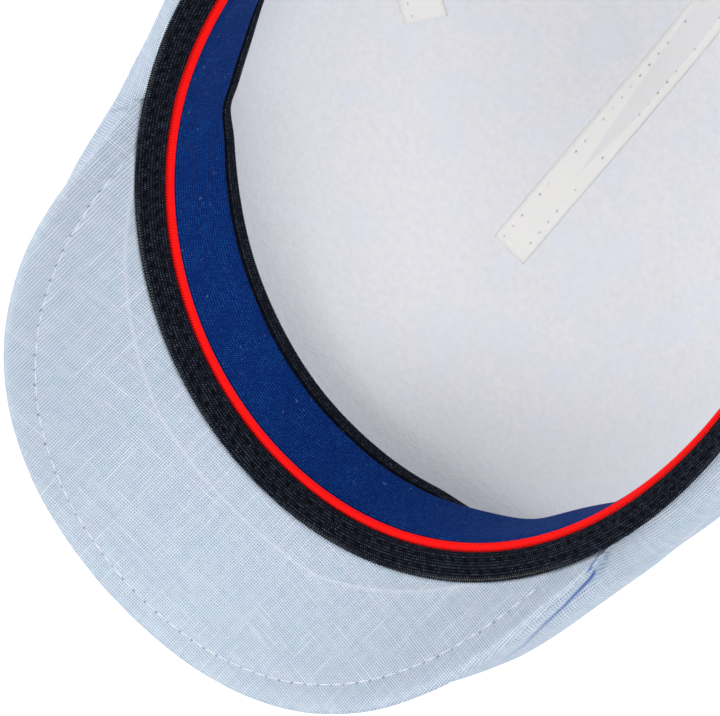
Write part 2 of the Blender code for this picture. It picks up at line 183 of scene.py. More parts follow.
class CapColours(bpy.types.PropertyGroup):
    linen: colour("Linen", "The linen's threads", (0.515, 0.622, 0.730))
    linen_mauve: colour("Linen mauve", "The threads that take more mauve", (0.545, 0.612, 0.742))
    linen_gap: colour("Linen gaps", "The shaded gaps between the threads", (0.06, 0.10, 0.17))
    linen_slub: colour("Linen slubs", "The thicker, paler threads", (0.70, 0.77, 0.84))
    # Painted highlight: the paler line where the sewn ridge catches the light.
    linen_ridge: colour("Linen ridge", "The linen on the peak's sewn ridge", (0.76, 0.77, 0.82))
    linen_hole: colour("Linen holes", "The needle holes in the linen", (0.10, 0.14, 0.22))
    # Painted shade: the deep blue that stands for shade deep in a crease.
    crease_shade: colour("Crease", "The linen deep in a crease", (0.05, 0.13, 0.40))
    lining: colour("Lining", "The off-white felt", (0.925, 0.93, 0.945))
    lining_shade: colour("Lining shade", "The felt's greyer mottling", (0.875, 0.885, 0.915))
    # Painted reflected light: the blue that the sweatband bounces onto the felt; it also tints bluer
    # patches.
    lining_blue: colour("Lining blue", "The felt where it takes a blue tint", (0.84, 0.90, 1.0))
    seam_tape: colour("Seam tape", "The seam tapes", (0.975, 0.970, 0.935))
    # Also the painted shadow line along one lifted edge of each tape.
    seam_gauze: colour("Seam gauze", "The gauze that shows on the seam tapes", (0.74, 0.76, 0.81))
    needle_hole: colour("Needle holes", "The needle holes in the seam tapes", (0.50, 0.51, 0.55))
    black_tape: colour("Black tape", "The black tapes' threads", (0.007, 0.009, 0.016))
    # Painted highlight: glints on the threads that catch the light.
    black_worn: colour("Worn black", "Those threads where they catch the light", (0.052, 0.068, 0.100))
    # Also painted shade in the sunken stitches.
    black_gap: colour("Black gaps", "Between the black tapes' threads", (0.002, 0.002, 0.004))
    selvage: colour("Selvage", "The greyish thread near the edge tape's edge", (0.13, 0.13, 0.11))
    red: colour("Red", "The piping's threads", (1.0, 0.008, 0.007))
    # Painted shade: the gaps between the cord's ribs, darkest along its outer side.
    red_gap: colour("Red gaps", "Between the piping's ribs", (0.40, 0.004, 0.004))
    blue: colour("Blue", "The blue band's threads", (0.001, 0.025, 0.172))
    blue_shine: colour("Blue shine", "Those threads where they catch the light", (0.008, 0.088, 0.345))
    blue_gap: colour("Blue gaps", "Between the blue band's ribs", (0.001, 0.013, 0.095))
    # Pale specks that stand for lint and for painted glints on the fibres.
    lint: colour("Lint_and_glint", "The specks of lint", (0.42, 0.47, 0.56))
    thread: colour("Thread", "The pale sewing thread", (0.74, 0.71, 0.76))


class StageSettings(bpy.types.PropertyGroup):
    azimuth: angle("Azimuth", "The camera's turn from the back of the cap, in its frame", 17.70)
    elevation: angle("Elevation", "The camera's height above the opening's plane", 53.17)
    roll: angle("Roll", "The camera's turn about its own line of sight", -142.38)
    distance: length("Distance", "From the camera to the point that it looks at", 1.040)
    focal: amount("Focal length", "The camera's focal length in millimetres", 231.1)
    sensor: amount("Sensor", "The camera's sensor width in millimetres", 36.0)
    floor_tone: colour("Floor", "The floor's colour", (0.90, 0.90, 0.90))
    floor_glow: amount("Floor glow", "How far the floor is lit from below", 0.35)
    light: amount("Light", "How bright the even light of the room is", 0.22)
    lamp: amount("Lamps", "Power of the soft lamps in watts", 10.0)
    lamp_distance: length("Lamp distance", "From the cap to each lamp", 1.5)
    lamp_size: length("Lamp size", "Width of each lamp", 0.9)


# The lamps: the way to each, as its turn from the back of the cap and its height in degrees, and
# its share of the power.
LAMP_COLUMNS = ("name", "turn", "height", "share")
LAMP_ROWS = (
    ("lamp_back", 0, 30, 0.92),
    ("lamp_right", 60, 30, 0.83),
    ("lamp_left", 240, 30, 1.05),
    ("lamp_front_high", 180, 60, 0.61),
    ("lamp_right_high", 120, 60, 0.45),
    ("lamp_left_high", 240, 60, 0.28),
)

# The point in the cap's frame that the camera looks at, and how near and how far it sees.
CAMERA_TARGET = Vector((0.0026, -0.05138, 0.0))
CAMERA_NEAR = 0.01
CAMERA_FAR = 50.0

# Half the floor's width.
FLOOR_HALF_WIDTH = 4.0


def sizes():
    return bpy.context.scene.flat_cap_sizes


def band():
    return bpy.context.scene.flat_cap_band


def stitch():
    return bpy.context.scene.flat_cap_stitch


def tones():
    return bpy.context.scene.flat_cap_colours


def cap_pose():
    """The cap's own frame, as it lies in the row's frame."""
    low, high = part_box("sweatband_edge_tape")
    place = Matrix.Translation((low + high) / 2 + OPENING_FROM_TAPE_MIDDLE)
    return place @ Matrix.Rotation(sizes().rest_tilt, 4, "X")


def moved(points, matrix):
    matrix = np.array(matrix)
    return points @ matrix[:3, :3].T + matrix[:3, 3]


def unit(vectors):
    return vectors / np.linalg.norm(vectors, axis=-1, keepdims=True)


def bell(offset, half_width):
    return np.exp(-((offset / half_width) ** 2))


def ramp(value, start, end):
    """0 up to the start, rising evenly to 1 at the end."""
    return np.clip((value - start) / (end - start), 0.0, 1.0)


def with_height(plan, height):
    return np.concatenate([plan, np.broadcast_to(height, plan.shape[:-1])[..., None]], -1)


def nearest(plan, line):
    """For places in plan, the nearest point of a line and how far it is."""
    gaps = np.linalg.norm(plan[:, None, :] - line[None, :, :], axis=-1)
    return gaps.argmin(1), gaps.min(1)


# The path of the sweatband.

# Into how many steps the rim and the way down the band are cut, and how the waves grow towards
# the loose edge, as a power.
RIM_STEPS = 2880
PATH_STEPS = 23
LEAN_GROWTH = 1.5


def rim_points(turn):
    """The edge of the opening, and the direction straight out from it in plan."""
    long, wide = sizes().half_length, sizes().half_width
    plan = np.stack([wide * np.sin(turn), -long * np.cos(turn)], -1)
    outward = np.stack([long * np.sin(turn), -wide * np.cos(turn)], -1)
    return with_height(plan, -sizes().saddle * np.cos(2 * turn)), unit(outward)


def run_lengths(points):
    """The length of a line up to each of its points."""
    steps = np.linalg.norm(np.diff(points, axis=0), axis=1)
    return np.concatenate([[0.0], np.cumsum(steps)])


def rim_length_table():
    """Turns round the rim, and the length of the rim up to each."""
    turn = np.linspace(-math.pi, math.pi, RIM_STEPS + 1)
    return turn, run_lengths(rim_points(turn)[0])


def around(turn, rows):
    """What the rises and falls of a table round the opening add up to."""
    total = np.zeros_like(turn)
    for row in rows:
        rise = dict(zip(ROUND_COLUMNS, row))
        offset = turn - math.radians(rise["degrees"])
        offset = (offset + math.pi) % (2 * math.pi) - math.pi
        total += rise["height"] * bell(offset, math.radians(rise["half_width_degrees"]))
    return total


def band_path(turn, distance):
    """How far inwards and down the sweatband's face has come, and how steep it is there."""
    distance = distance + np.zeros_like(turn)
    power = 1 + around(turn, SHOULDER_ROWS)
    start, end = band().start_slope, band().end_slope
    inward, depth, before = 0.0, 0.0, start
    for k in range(1, PATH_STEPS + 1):
        share = np.clip(distance * k / PATH_STEPS / band().roll_length, 0.0, 1.0)
        slope = start + (end - start) * np.sin(share * math.pi / 2) ** power
        inward = inward + np.cos((slope + before) / 2)
        depth = depth + np.sin((slope + before) / 2)
        before = slope
    step = distance / PATH_STEPS
    return step * inward, step * depth, slope


def band_starts():
    """Where the piping, the blue band and the binding start down the sweatband, and its width."""
    piping = band().edge_tape_width + band().gap
    blue = piping + band().piping_diameter + band().gap
    binding = blue + band().blue_width + band().gap
    return piping, blue, binding, binding + band().binding_width


def band_points(turn, distance, below):
    """Places a distance down the sweatband's face from the rim, and below that face."""
    _, blue, _, width = band_starts()
    rim, outward = rim_points(turn)
    inward, depth, slope = band_path(turn, distance)
    loose = np.maximum(0.0, (distance - blue) / (width - blue))
    lean = around(turn, WAVE_ROWS) * width * loose**LEAN_GROWTH
    inward = inward - below * np.sin(slope) + lean
    plan = rim[..., :2] - outward * inward[..., None]
    return with_height(plan, rim[..., 2] - depth - below * np.cos(slope))


# Making pieces.


def add_object(name, data):
    made = bpy.data.objects.new(name, data)
    bpy.context.scene.collection.objects.link(made)
    return made


def mesh_data(name, mesh):
    """A bmesh as a mesh of that name. The bmesh is freed."""
    data = bpy.data.meshes.new(name)
    mesh.to_mesh(data)
    mesh.free()
    return data


def finish_piece(name, mesh, material, node=None):
    """An object made from a bmesh in the cap's frame, put in the row's frame on the body."""
    mesh.transform(cap_pose())
    data = mesh_data(name, mesh)
    data.shade_smooth()
    data.materials.append(bpy.data.materials.get(material) or MATERIALS[material](material))
    piece = add_object(name, data)
    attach(piece, "root")
    if node:
        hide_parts(node)
    return piece


def map_faces(mesh, place_of, name):
    """Gives a mesh a UV map in metres, from the places that place_of gives a face's points."""
    mesh.verts.index_update()
    layer = mesh.loops.layers.uv.new(name)
    for face in mesh.faces:
        for loop, place in zip(face.loops, place_of([vert.index for vert in face.verts])):
            loop[layer].uv = place


def map_points(mesh, places, name="cloth"):
    """Gives a mesh a UV map in metres, from a place for each of its points."""
    map_faces(mesh, lambda corners: places[corners], name)


def grid_mesh(points, places):
    """A closed mesh on a grid of points. Sides that meet are joined; places are its UV map."""
    rows, columns = points.shape[:2]
    mesh = bmesh.new()
    bmesh.ops.create_grid(mesh, x_segments=columns - 1, y_segments=rows - 1)
    for vert, point in zip(mesh.verts, points.reshape(-1, 3)):
        vert.co = point
    map_points(mesh, places.reshape(-1, 2))
    bmesh.ops.remove_doubles(mesh, verts=mesh.verts, dist=1e-6)
    bmesh.ops.holes_fill(mesh, edges=mesh.edges, sides=0)
    bmesh.ops.recalc_face_normals(mesh, faces=mesh.faces)
    return mesh


def strip_section(start, width, thickness, face_steps, back_steps, squareness=8):
    """Across a strip: places down the band and below its face, and how much each lies on top."""
    across = -np.cos(np.linspace(0.0, math.pi, face_steps + 1))
    back = np.cos(np.linspace(0.0, math.pi, back_steps + 1))[1:-1]
    half = thickness / 2
    face_half = half * np.sqrt(1 - np.abs(across) ** squareness)
    back_half = half * np.sqrt(1 - np.abs(back) ** squareness)
    place = start + width / 2 * (1 + np.concatenate([across, back]))
    below = half + np.concatenate([-face_half, back_half])
    top = np.concatenate([face_half / half, np.zeros(len(back))])
    return place, below, top


def make_strip(name, section, relief, material, node, samples_per_rib=4):
    """A strip of the sweatband all round the opening, with its relief worked into its face."""
    turns, lengths = rim_length_table()
    rib_count = round(lengths[-1] / band().rib_pitch)
    along = np.linspace(0.0, lengths[-1], int(rib_count * samples_per_rib) + 1)
    turn = np.interp(along, lengths, turns)
    ribs = np.sin(along * 2 * math.pi / (lengths[-1] / rib_count))
    place, below, top = section
    shift, lift = relief(along[None, :], place[:, None], top[:, None], ribs[None, :])
    points = band_points(turn[None, :], place[:, None] + shift, below[:, None] - lift)
    points = np.concatenate([points, points[:1]])
    down = np.append(place, place[0])
    places = np.stack(np.broadcast_arrays(along[None, :], down[:, None]), -1)
    return finish_piece(name, grid_mesh(points, places), material, node)


def cloth_copy(node, levels):
    """A fine, smooth copy of a packed cloth node, in the cap's frame."""
    mesh = bmesh.new()
    mesh.from_mesh(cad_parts[node].data)
    mesh.transform(cap_pose().inverted())
    bmesh.ops.remove_doubles(mesh, verts=mesh.verts, dist=1e-5)
    bmesh.ops.join_triangles(
        mesh, faces=mesh.faces, angle_face_threshold=math.radians(50),
        angle_shape_threshold=math.pi,
    )
    rough = add_object("rough", mesh_data("rough", mesh))
    smoother = rough.modifiers.new("smoother", "SUBSURF")
    smoother.levels = smoother.render_levels = levels
    depsgraph = bpy.context.evaluated_depsgraph_get()
    mesh = bmesh.new()
    mesh.from_mesh(rough.evaluated_get(depsgraph).to_mesh())
    bpy.data.objects.remove(rough)
    bmesh.ops.recalc_face_normals(mesh, faces=mesh.faces)
    mesh.normal_update()
    return mesh


def mesh_arrays(mesh):
    """A mesh's places and normals."""
    places = np.array([vert.co[:] for vert in mesh.verts])
    normals = np.array([vert.normal[:] for vert in mesh.verts])
    return places, normals


def move_along_normals(mesh, amounts):
    for vert, amount_here in zip(mesh.verts, amounts):
        vert.co += vert.normal * float(amount_here)
    mesh.normal_update()


def mark_points(mesh, name, numbers):
    """Gives each point of a mesh a number that its material reads."""
    layer = mesh.verts.layers.float.new(name)
    for vert, number in zip(mesh.verts, numbers):
        vert[layer] = float(number)


def refine(mesh, close, cuts):
    """Cuts up the edges that have both ends close to something."""
    mesh.verts.index_update()
    edges = [edge for edge in mesh.edges if all(close[vert.index] for vert in edge.verts)]
    bmesh.ops.subdivide_edges(mesh, edges=edges, cuts=cuts, use_grid_fill=True)


def ripples(places, rows):
    """Soft unevenness: what rows of scale, seed and height add up to."""
    total = np.zeros(len(places))
    for scale, seed, height in rows:
        start = Vector((seed, 0, 0))
        total += height * np.array([noise.noise(Vector(at) * scale + start) for at in places])
    return total


# Nodes for the materials.


def rgba(tone):
    return (*tone, 1.0)


def set_inputs(node, **inputs):
    for key, value in inputs.items():
        node.inputs[key.replace("_", " ")].default_value = value


class Value:
    """What a node puts out. A number takes plain arithmetic, which adds Math nodes."""

    def __init__(self, nodes, socket):
        self.nodes = nodes
        self.socket = socket

    def __add__(self, other):
        return self.nodes.maths("ADD", self, other)

    def __sub__(self, other):
        return self.nodes.maths("SUBTRACT", self, other)

    def __rsub__(self, other):
        return self.nodes.maths("SUBTRACT", other, self)

    def __mul__(self, other):
        return self.nodes.maths("MULTIPLY", self, other)

    def __truediv__(self, other):
        return self.nodes.maths("DIVIDE", self, other)

    def __abs__(self):
        return self.nodes.maths("ABSOLUTE", self)


class Nodes:
    """Adds nodes to a tree and links what they are given."""

    def __init__(self, tree):
        self.tree = tree

    def wire(self, item, socket):
        """Gives a socket a value, a plain number or the name of one of the cap's colours."""
        if isinstance(item, Value):
            self.tree.links.new(item.socket, socket)
        elif isinstance(item, str):
            socket.default_value = rgba(getattr(tones(), item))
        elif item is not None:
            socket.default_value = item

    def outs(self, node):
        """A node's outputs by name."""
        return {socket.name: Value(self, socket) for socket in node.outputs}

    def add(self, kind, settings=None, out=0, **inputs):
        """A node of a kind, with inputs by name, as one of its outputs."""
        node = self.tree.nodes.new("ShaderNode" + kind)
        for key, value in (settings or {}).items():
            setattr(node, key, value)
        for key, item in inputs.items():
            self.wire(item, node.inputs[key.replace("_", " ")])
        return Value(self, node.outputs[out])

    def fill(self, kind, settings, items, out=0):
        """A node of a kind, with its inputs in order, as one of its outputs."""
        value = self.add(kind, settings, out)
        for item, socket in zip(items, value.socket.node.inputs):
            self.wire(item, socket)
        return value

    def maths(self, operation, *items):
        return self.fill("Math", {"operation": operation}, items)

    def spread(self, value, low, high, to_low=0.0, to_high=1.0):
        """Turns a number from low to high smoothly into one from to_low to to_high."""
        settings = {"clamp": True, "interpolation_type": "SMOOTHSTEP"}
        return self.fill("MapRange", settings, (value, low, high, to_low, to_high))

    def blend(self, factor, first, second):
        """A colour between two. They are the last pair of a Mix node's many inputs."""
        items = (factor, *[None] * 5, first, second)
        return self.fill("Mix", {"data_type": "RGBA"}, items, out=2)

    def clouds(self, vector, scale, detail=2.0, roughness=0.5):
        return self.add("TexNoise", Vector=vector, Scale=scale, Detail=detail, Roughness=roughness)

    def by_chance(self, *values):
        """A number from 0 to 1 for each whole number, or pair of them, by chance."""
        if len(values) == 1:
            return self.add("TexWhiteNoise", {"noise_dimensions": "1D"}, "Value", W=values[0])
        pair = self.pair(*values)
        return self.add("TexWhiteNoise", {"noise_dimensions": "2D"}, "Value", Vector=pair)

    def wave(self, value, pitch):
        return self.maths("SINE", value * (2 * math.pi / pitch))

    def beat(self, value, pitch, start=0.0):
        """How far along its repeat a number is, from -0.5 to 0.5."""
        return self.maths("FRACT", value / pitch + start) - 0.5

    def near(self, value, middle, half_width):
        """1 where a number is at the middle, falling to 0 at the half width."""
        return self.spread(abs(value - middle), half_width, 0.0)

    def reach(self, x, y):
        """How far a place in plan lies from the middle."""
        return self.maths("SQRT", x * x + y * y)

    def pair(self, x, y):
        return self.add("CombineXYZ", X=x, Y=y)

    def split(self, vector):
        """The first two parts of a place."""
        parts = self.add("SeparateXYZ", Vector=vector).socket.node
        return Value(self, parts.outputs[0]), Value(self, parts.outputs[1])


# Shader node groups that more than one material uses.

# The weave's threads: how far they wander from straight, the scale of the clouds that steer that
# and that fill some gaps, and how a thread's number and length stretch the clouds of its slubs.
THREAD_WANDER = 0.0006
WANDER_SCALE = 110.0
GAP_SCALE = 420.0
SLUB_STRETCH = (70.0, 0.035)

# Specks of lint and painted glints, as a share of the fibres' scale.
SPECK_SHARE = 0.55


def plain_weave(nodes, given):
    """Plain weave on a map in metres, with uneven threads and slubs along both."""
    wander = (nodes.clouds(given["Map"], WANDER_SCALE, 2.0, 0.6) - 0.5) * THREAD_WANDER
    x, y = nodes.split(given["Map"])
    x = (x + wander) / given["Pitch"]
    y = (y - wander) / given["Pitch"]
    warp, weft = nodes.maths("SINE", x * math.pi), nodes.maths("SINE", y * math.pi)
    over = warp * weft * 0.5 + 0.5
    warp_round, weft_round = abs(warp), abs(weft)
    highs, slubs, shades = [], [], []
    for across, along, body, top in ((x, y, warp_round, over), (y, x, weft_round, 1.0 - over)):
        rank = nodes.by_chance(nodes.maths("FLOOR", across))
        lane = nodes.pair(rank * SLUB_STRETCH[0], along * SLUB_STRETCH[1])
        lane = nodes.clouds(lane, 1.0, 1.0, 0.6)
        shown = (top * 0.5 + 0.5) * nodes.spread(body, 0.15, 0.75)
        slubs.append(nodes.spread(lane, 0.58, 0.78) * given["Slubs"] * shown)
        highs.append(body * top)
        shades.append((rank * 0.6 + lane * 0.4) * top)
    slub = nodes.maths("MAXIMUM", *slubs)
    hole = nodes.spread(nodes.maths("MAXIMUM", warp_round, weft_round), 0.74, 0.30)
    edge = nodes.spread(nodes.maths("MINIMUM", warp_round, weft_round), 0.45, 0.05)
    patchy = nodes.spread(nodes.clouds(given["Map"], GAP_SCALE, 2.0, 0.6), 0.30, 0.70, 0.60, 1.0)
    return {
        "Height": slub * 0.35 + (highs[0] + highs[1]),
        "Gap": nodes.maths("MAXIMUM", hole, edge * 0.3) * patchy,
        "Slub": slub,
        "Tone": shades[0] + shades[1],
    }


def elastic_ribs(nodes, given):
    """Elastic weave on a map in metres: long columns of stitches with a cross pitch."""
    x, y = nodes.split(given["Map"])
    y = y / given["Across"]
    column = nodes.maths("FLOOR", y)
    x = x / given["Along"] + column * given["Slant"]
    across, along = (abs(nodes.maths("SINE", item * math.pi)) for item in (y, x))
    high = across * along
    uneven = nodes.by_chance(nodes.maths("FLOOR", x), column)
    return {
        "Height": high,
        "Gap": nodes.spread(high, 0.60, 0.10),
        "Shine": nodes.spread(high * (uneven * 0.7 + 0.5), 0.35, 0.95),
    }


def fuzz(nodes, given):
    """Fine fibres, soft mottling and pale specks of lint and painted glints, on object coordinates."""
    specks = nodes.clouds(given["Place"], given["Fibre"] * SPECK_SHARE, 1.0, 0.5)
    mottle = nodes.clouds(given["Place"], given["Mottle"], 5.0, 0.6)
    return {
        "Height": nodes.clouds(given["Place"], given["Fibre"], 4.0, 0.65),
        "Mottle": nodes.spread(mottle, 0.30, 0.70),
        "Lint_and_glint": nodes.spread(specks, 0.72, 0.80),
    }


# Each shared group: the vector and the numbers that it is given, and what works it out.
SHARED_GROUPS = {
    "Plain weave": ("Map", ("Pitch", "Slubs"), plain_weave),
    "Elastic ribs": ("Map", ("Along", "Across", "Slant"), elastic_ribs),
    "Fuzz": ("Place", ("Fibre", "Mottle"), fuzz),
}


def new_group(name):
    """Builds a shared group with its named inputs and outputs."""
    vector, numbers, work = SHARED_GROUPS[name]
    tree = bpy.data.node_groups.new(name, "ShaderNodeTree")
    tree.interface.new_socket(vector, in_out="INPUT", socket_type="NodeSocketVector")
    for label in numbers:
        tree.interface.new_socket(label, in_out="INPUT", socket_type="NodeSocketFloat")
    nodes = Nodes(tree)
    results = work(nodes, nodes.outs(tree.nodes.new("NodeGroupInput")))
    for label in results:
        tree.interface.new_socket(label, in_out="OUTPUT", socket_type="NodeSocketFloat")
    put = tree.nodes.new("NodeGroupOutput").inputs
    for label, value in results.items():
        nodes.wire(value, put[label])
    return tree


class Cloth(Nodes):
    """A cloth material: a Principled shader, with its map and its place on the object."""

    def __init__(self, name, tone, roughness, specular):
        self.material = bpy.data.materials.new(name)
        self.material.use_nodes = True
        super().__init__(self.material.node_tree)
        self.shader = self.tree.nodes["Principled BSDF"]
        set_inputs(
            self.shader, Roughness=roughness, Specular_IOR_Level=specular, Sheen_Weight=0.12,
            Sheen_Roughness=0.5, Sheen_Tint=rgba(getattr(tones(), tone)),
        )
        self.map = self.uv("cloth")
        self.place = self.add("TexCoord", out="Object")

    def uv(self, name):
        return self.add("UVMap", {"uv_map": name})

    def mark(self, name):
        """A number that the mesh carries at each of its points."""
        return self.add("Attribute", {"attribute_name": name}, "Fac")

    def group(self, name, vector, **inputs):
        """A shared group, with the vector and the numbers that it is given, as its outputs."""
        tree = bpy.data.node_groups.get(name) or new_group(name)
        inputs[SHARED_GROUPS[name][0]] = vector
        return self.outs(self.add("Group", {"node_tree": tree}, **inputs).socket.node)

    def finish(self, tint, height, depth):
        """Puts the tint and a bump of a depth on the shader."""
        self.wire(tint, self.shader.inputs["Base Color"])
        bump = self.add("Bump", Strength=1.0, Distance=depth, Height=height)
        self.wire(bump, self.shader.inputs["Normal"])
        return self.material


# Sizes that the materials and the reliefs of the pieces share.

# Creases beside the peak's corners, each as points in plan with how deep it is pressed and how
# strong its deep-blue painted shade is there. The peak carries the painted shade up to a distance
# from the opening's middle, and the crown beyond it. A dent is wider than its painted line by a
# share, and nothing past the reach is creased.
CREASES = (
    (
        (0.0726, -0.0405, 0.4),
        (0.0742, -0.0435, 0.9),
        (0.0753, -0.0492, 1.0),
        (0.0752, -0.0580, 0.8),
        (0.0740, -0.0720, 0.35),
        (0.0722, -0.0793, 0.15),
    ),
    (
        (-0.0741, -0.0440, 0.5),
        (-0.0792, -0.0528, 0.1),
    ),
)
PEAK_CREASE_END = 0.047
CREASE_DEPTH = 0.0010
CREASE_HALF_WIDTH = 0.0006
CREASE_DENT_SHARE = 1.5
CREASE_REACH = 0.003
CREASE_STEPS = 60

# Two rows of stitches sink into the edge tape: where each runs, as shares of its width, and how
# far a stitch slants along the tape for each step across it.
TAPE_STITCH_SHARES = (0.30, 0.66)
TAPE_STITCH_SLANT = 0.8
TAPE_STITCH_HALF_WIDTH = 0.0006


def tape_stitch_step():
    """From one stitch of the edge tape to the next, so that a whole number go round."""
    total = rim_length_table()[1][-1]
    return float(total / round(total / stitch().pitch))


# The materials.

# Half the length and the width of the needle holes in the linen, and of the ridge's painted highlight.
LINEN_HOLE_HALF_LENGTH = 0.00045
LINEN_HOLE_HALF_WIDTH = 0.00030
RIDGE_HIGHLIGHT_HALF_WIDTH = 0.0005


def linen_material(name):
    """Linen that also shows needle holes, a painted highlight on a ridge and painted shade in creases
    where a piece marks them.
    """
    cloth = Cloth(name, "linen", roughness=0.85, specular=0.10)
    weave = cloth.group("Plain weave", cloth.map, Pitch=stitch().linen_pitch, Slubs=1.0)
    fibres = cloth.group("Fuzz", cloth.place, Fibre=3200.0, Mottle=190.0)
    tint = cloth.blend(fibres["Mottle"], "linen", "linen_mauve")
    tint = cloth.blend(cloth.spread(weave["Tone"], 0.25, 0.85) * 0.45, tint, "linen_slub")
    tint = cloth.blend(weave["Gap"], tint, "linen_gap")
    tint = cloth.blend(weave["Slub"], tint, "linen_slub")
    # Painted highlight along the peak's raised ridge.
    ridge = cloth.near(cloth.mark("ridge"), 1.0, RIDGE_HIGHLIGHT_HALF_WIDTH)
    tint = cloth.blend(ridge * 0.35, tint, "linen_ridge")
    run, inset = cloth.split(cloth.uv("edge"))
    pitch = stitch().pitch
    hole = cloth.near(abs(cloth.beat(run, pitch) * pitch), pitch / 2, LINEN_HOLE_HALF_LENGTH)
    hole = hole * cloth.near(inset, stitch().peak_inset, LINEN_HOLE_HALF_WIDTH)
    uneven = cloth.by_chance(cloth.maths("ROUND", run / pitch))
    hole = hole * cloth.spread(uneven, 0.0, 0.7, 0.3, 1.0)
    tint = cloth.blend(hole, tint, "linen_hole")
    # Painted shade: deep-blue darkening along the creases beside the peak's corners.
    crease_shade = cloth.near(cloth.mark("crease_shade"), 1.0, CREASE_HALF_WIDTH)
    tint = cloth.blend(crease_shade * cloth.mark("crease_shade_strength"), tint, "crease_shade")
    return cloth.finish(tint, fibres["Height"] * 0.35 + weave["Height"], depth=0.00016)


# The scale of the felt's blue patches.
FELT_PATCH_SCALE = 75.0


def lining_material(name):
    """Mottled felt, bluer in patches, with painted blue light bounced from the sweatband where the
    crown's wall is marked.
    """
    cloth = Cloth(name, "lining", roughness=0.95, specular=0.15)
    fibres = cloth.group("Fuzz", cloth.place, Fibre=2200.0, Mottle=650.0)
    tint = cloth.blend(fibres["Mottle"], "lining_shade", "lining")
    patches = cloth.clouds(cloth.place, FELT_PATCH_SCALE, 4.0, 0.6)
    patches = cloth.spread(patches, 0.48, 0.68, 0.0, 0.45)
    # Painted reflected light: blue bounced from the sweatband onto the upper wall, and bluer patches.
    tint = cloth.blend(cloth.maths("MAXIMUM", cloth.mark("blue_bounce_light"), patches), tint, "lining_blue")
    return cloth.finish(tint, fibres["Mottle"] * 0.6 + fibres["Height"], depth=0.00012)


# The black tapes: from one column of threads to the next, half a dark stitch mark's length as a
# share of the step, and the greyish thread: where it runs, half its width, how far apart its dots
# are as a share of the rib, and the scale of the patches where it shows.
BLACK_COLUMN_PITCH = 0.0007
DENT_HALF_LENGTH = 0.26
SELVAGE_INSET = 0.0006
SELVAGE_HALF_WIDTH = 0.0003
SELVAGE_DOT_SHARE = 1.2
SELVAGE_PATCH_SCALE = 16.0


def black_tape_material(name):
    """Black tape with painted glints, painted shade in its sunken stitches, and a greyish thread on the
    tape round the opening.
    """
    cloth = Cloth(name, "black_tape", roughness=0.8, specular=0.05)
    ribs = cloth.group(
        "Elastic ribs", cloth.map, Along=band().rib_pitch, Across=BLACK_COLUMN_PITCH, Slant=0.5,
    )
    fibres = cloth.group("Fuzz", cloth.place, Fibre=1800.0, Mottle=500.0)
    # Painted highlight: glints where the ribs catch the light.
    shine = ribs["Shine"] * (fibres["Mottle"] * 0.8 + 0.3)
    tint = cloth.blend(shine, "black_tape", "black_worn")
    tint = cloth.blend(ribs["Gap"], tint, "black_gap")
    along, down = cloth.split(cloth.map)
    # Painted shade: the sunken stitches are darkened with the gap colour.
    dent_shades = []
    for row, share in enumerate(TAPE_STITCH_SHARES):
        place = down - band().edge_tape_width * share
        beat = cloth.beat(place * TAPE_STITCH_SLANT + along, tape_stitch_step(), row / 2)
        reach = cloth.reach(place / TAPE_STITCH_HALF_WIDTH, beat / DENT_HALF_LENGTH)
        dent_shades.append(cloth.spread(reach, 1.15, 0.6))
    tint = cloth.blend(cloth.maths("MAXIMUM", *dent_shades) * 0.85, tint, "black_gap")
    # Pale specks: lint, and painted glints on the fibres.
    tint = cloth.blend(fibres["Lint_and_glint"] * 0.10, tint, "lint")
    patches = cloth.spread(cloth.clouds(cloth.map, SELVAGE_PATCH_SCALE, 1.0), 0.42, 0.58)
    dots = cloth.spread(cloth.wave(along, band().rib_pitch * SELVAGE_DOT_SHARE), -0.3, 0.7)
    selvage = cloth.near(down, SELVAGE_INSET, SELVAGE_HALF_WIDTH) * dots * patches
    tint = cloth.blend(selvage, tint, "selvage")
    return cloth.finish(tint, fibres["Height"] * 0.5 + ribs["Height"], depth=0.00018)


# A rib of the red cord, as a share of the tapes' rib, and the shaded line on its outer side: how
# far it lies from where the cord starts, and half its width.
RED_RIB_SHARE = 1.3
RED_SHADE_INSET = 0.0001
RED_SHADE_HALF_WIDTH = 0.0005


def red_material(name):
    """Ribbed cord, with painted shade in the gaps between its ribs, strongest along its outer side."""
    cloth = Cloth(name, "red", roughness=0.7, specular=0.05)
    fibres = cloth.group("Fuzz", cloth.place, Fibre=2500.0, Mottle=300.0)
    along, down = cloth.split(cloth.map)
    ribs = cloth.wave(along, band().rib_pitch * RED_RIB_SHARE)
    outer = cloth.near(down, band_starts()[0] + RED_SHADE_INSET, RED_SHADE_HALF_WIDTH)
    # Painted shade: darkens the gaps between the ribs, most along the outer side by the edge tape.
    shade = cloth.spread(ribs, 0.6, -0.9) * (outer * 0.8 + 0.06)
    tint = cloth.blend(shade, "red", "red_gap")
    return cloth.finish(tint, fibres["Height"] * 0.6 + ribs, depth=0.00004)


def blue_material(name):
    """Ribbed knit that catches the light unevenly, with pale specks of lint and painted glints."""
    cloth = Cloth(name, "blue", roughness=0.75, specular=0.05)
    ribs = cloth.group(
        "Elastic ribs", cloth.map, Along=band().rib_pitch, Across=band().column_pitch, Slant=0.5,
    )
    fibres = cloth.group("Fuzz", cloth.place, Fibre=1700.0, Mottle=140.0)
    tint = cloth.blend(ribs["Gap"], "blue", "blue_gap")
    tint = cloth.blend(ribs["Shine"] * (fibres["Mottle"] * 0.6 + 0.4), tint, "blue_shine")
    # Pale specks: lint, and painted glints on the fibres.
    tint = cloth.blend(fibres["Lint_and_glint"] * 0.18, tint, "lint")
    return cloth.finish(tint, fibres["Height"] * 0.4 + ribs["Height"], depth=0.00012)


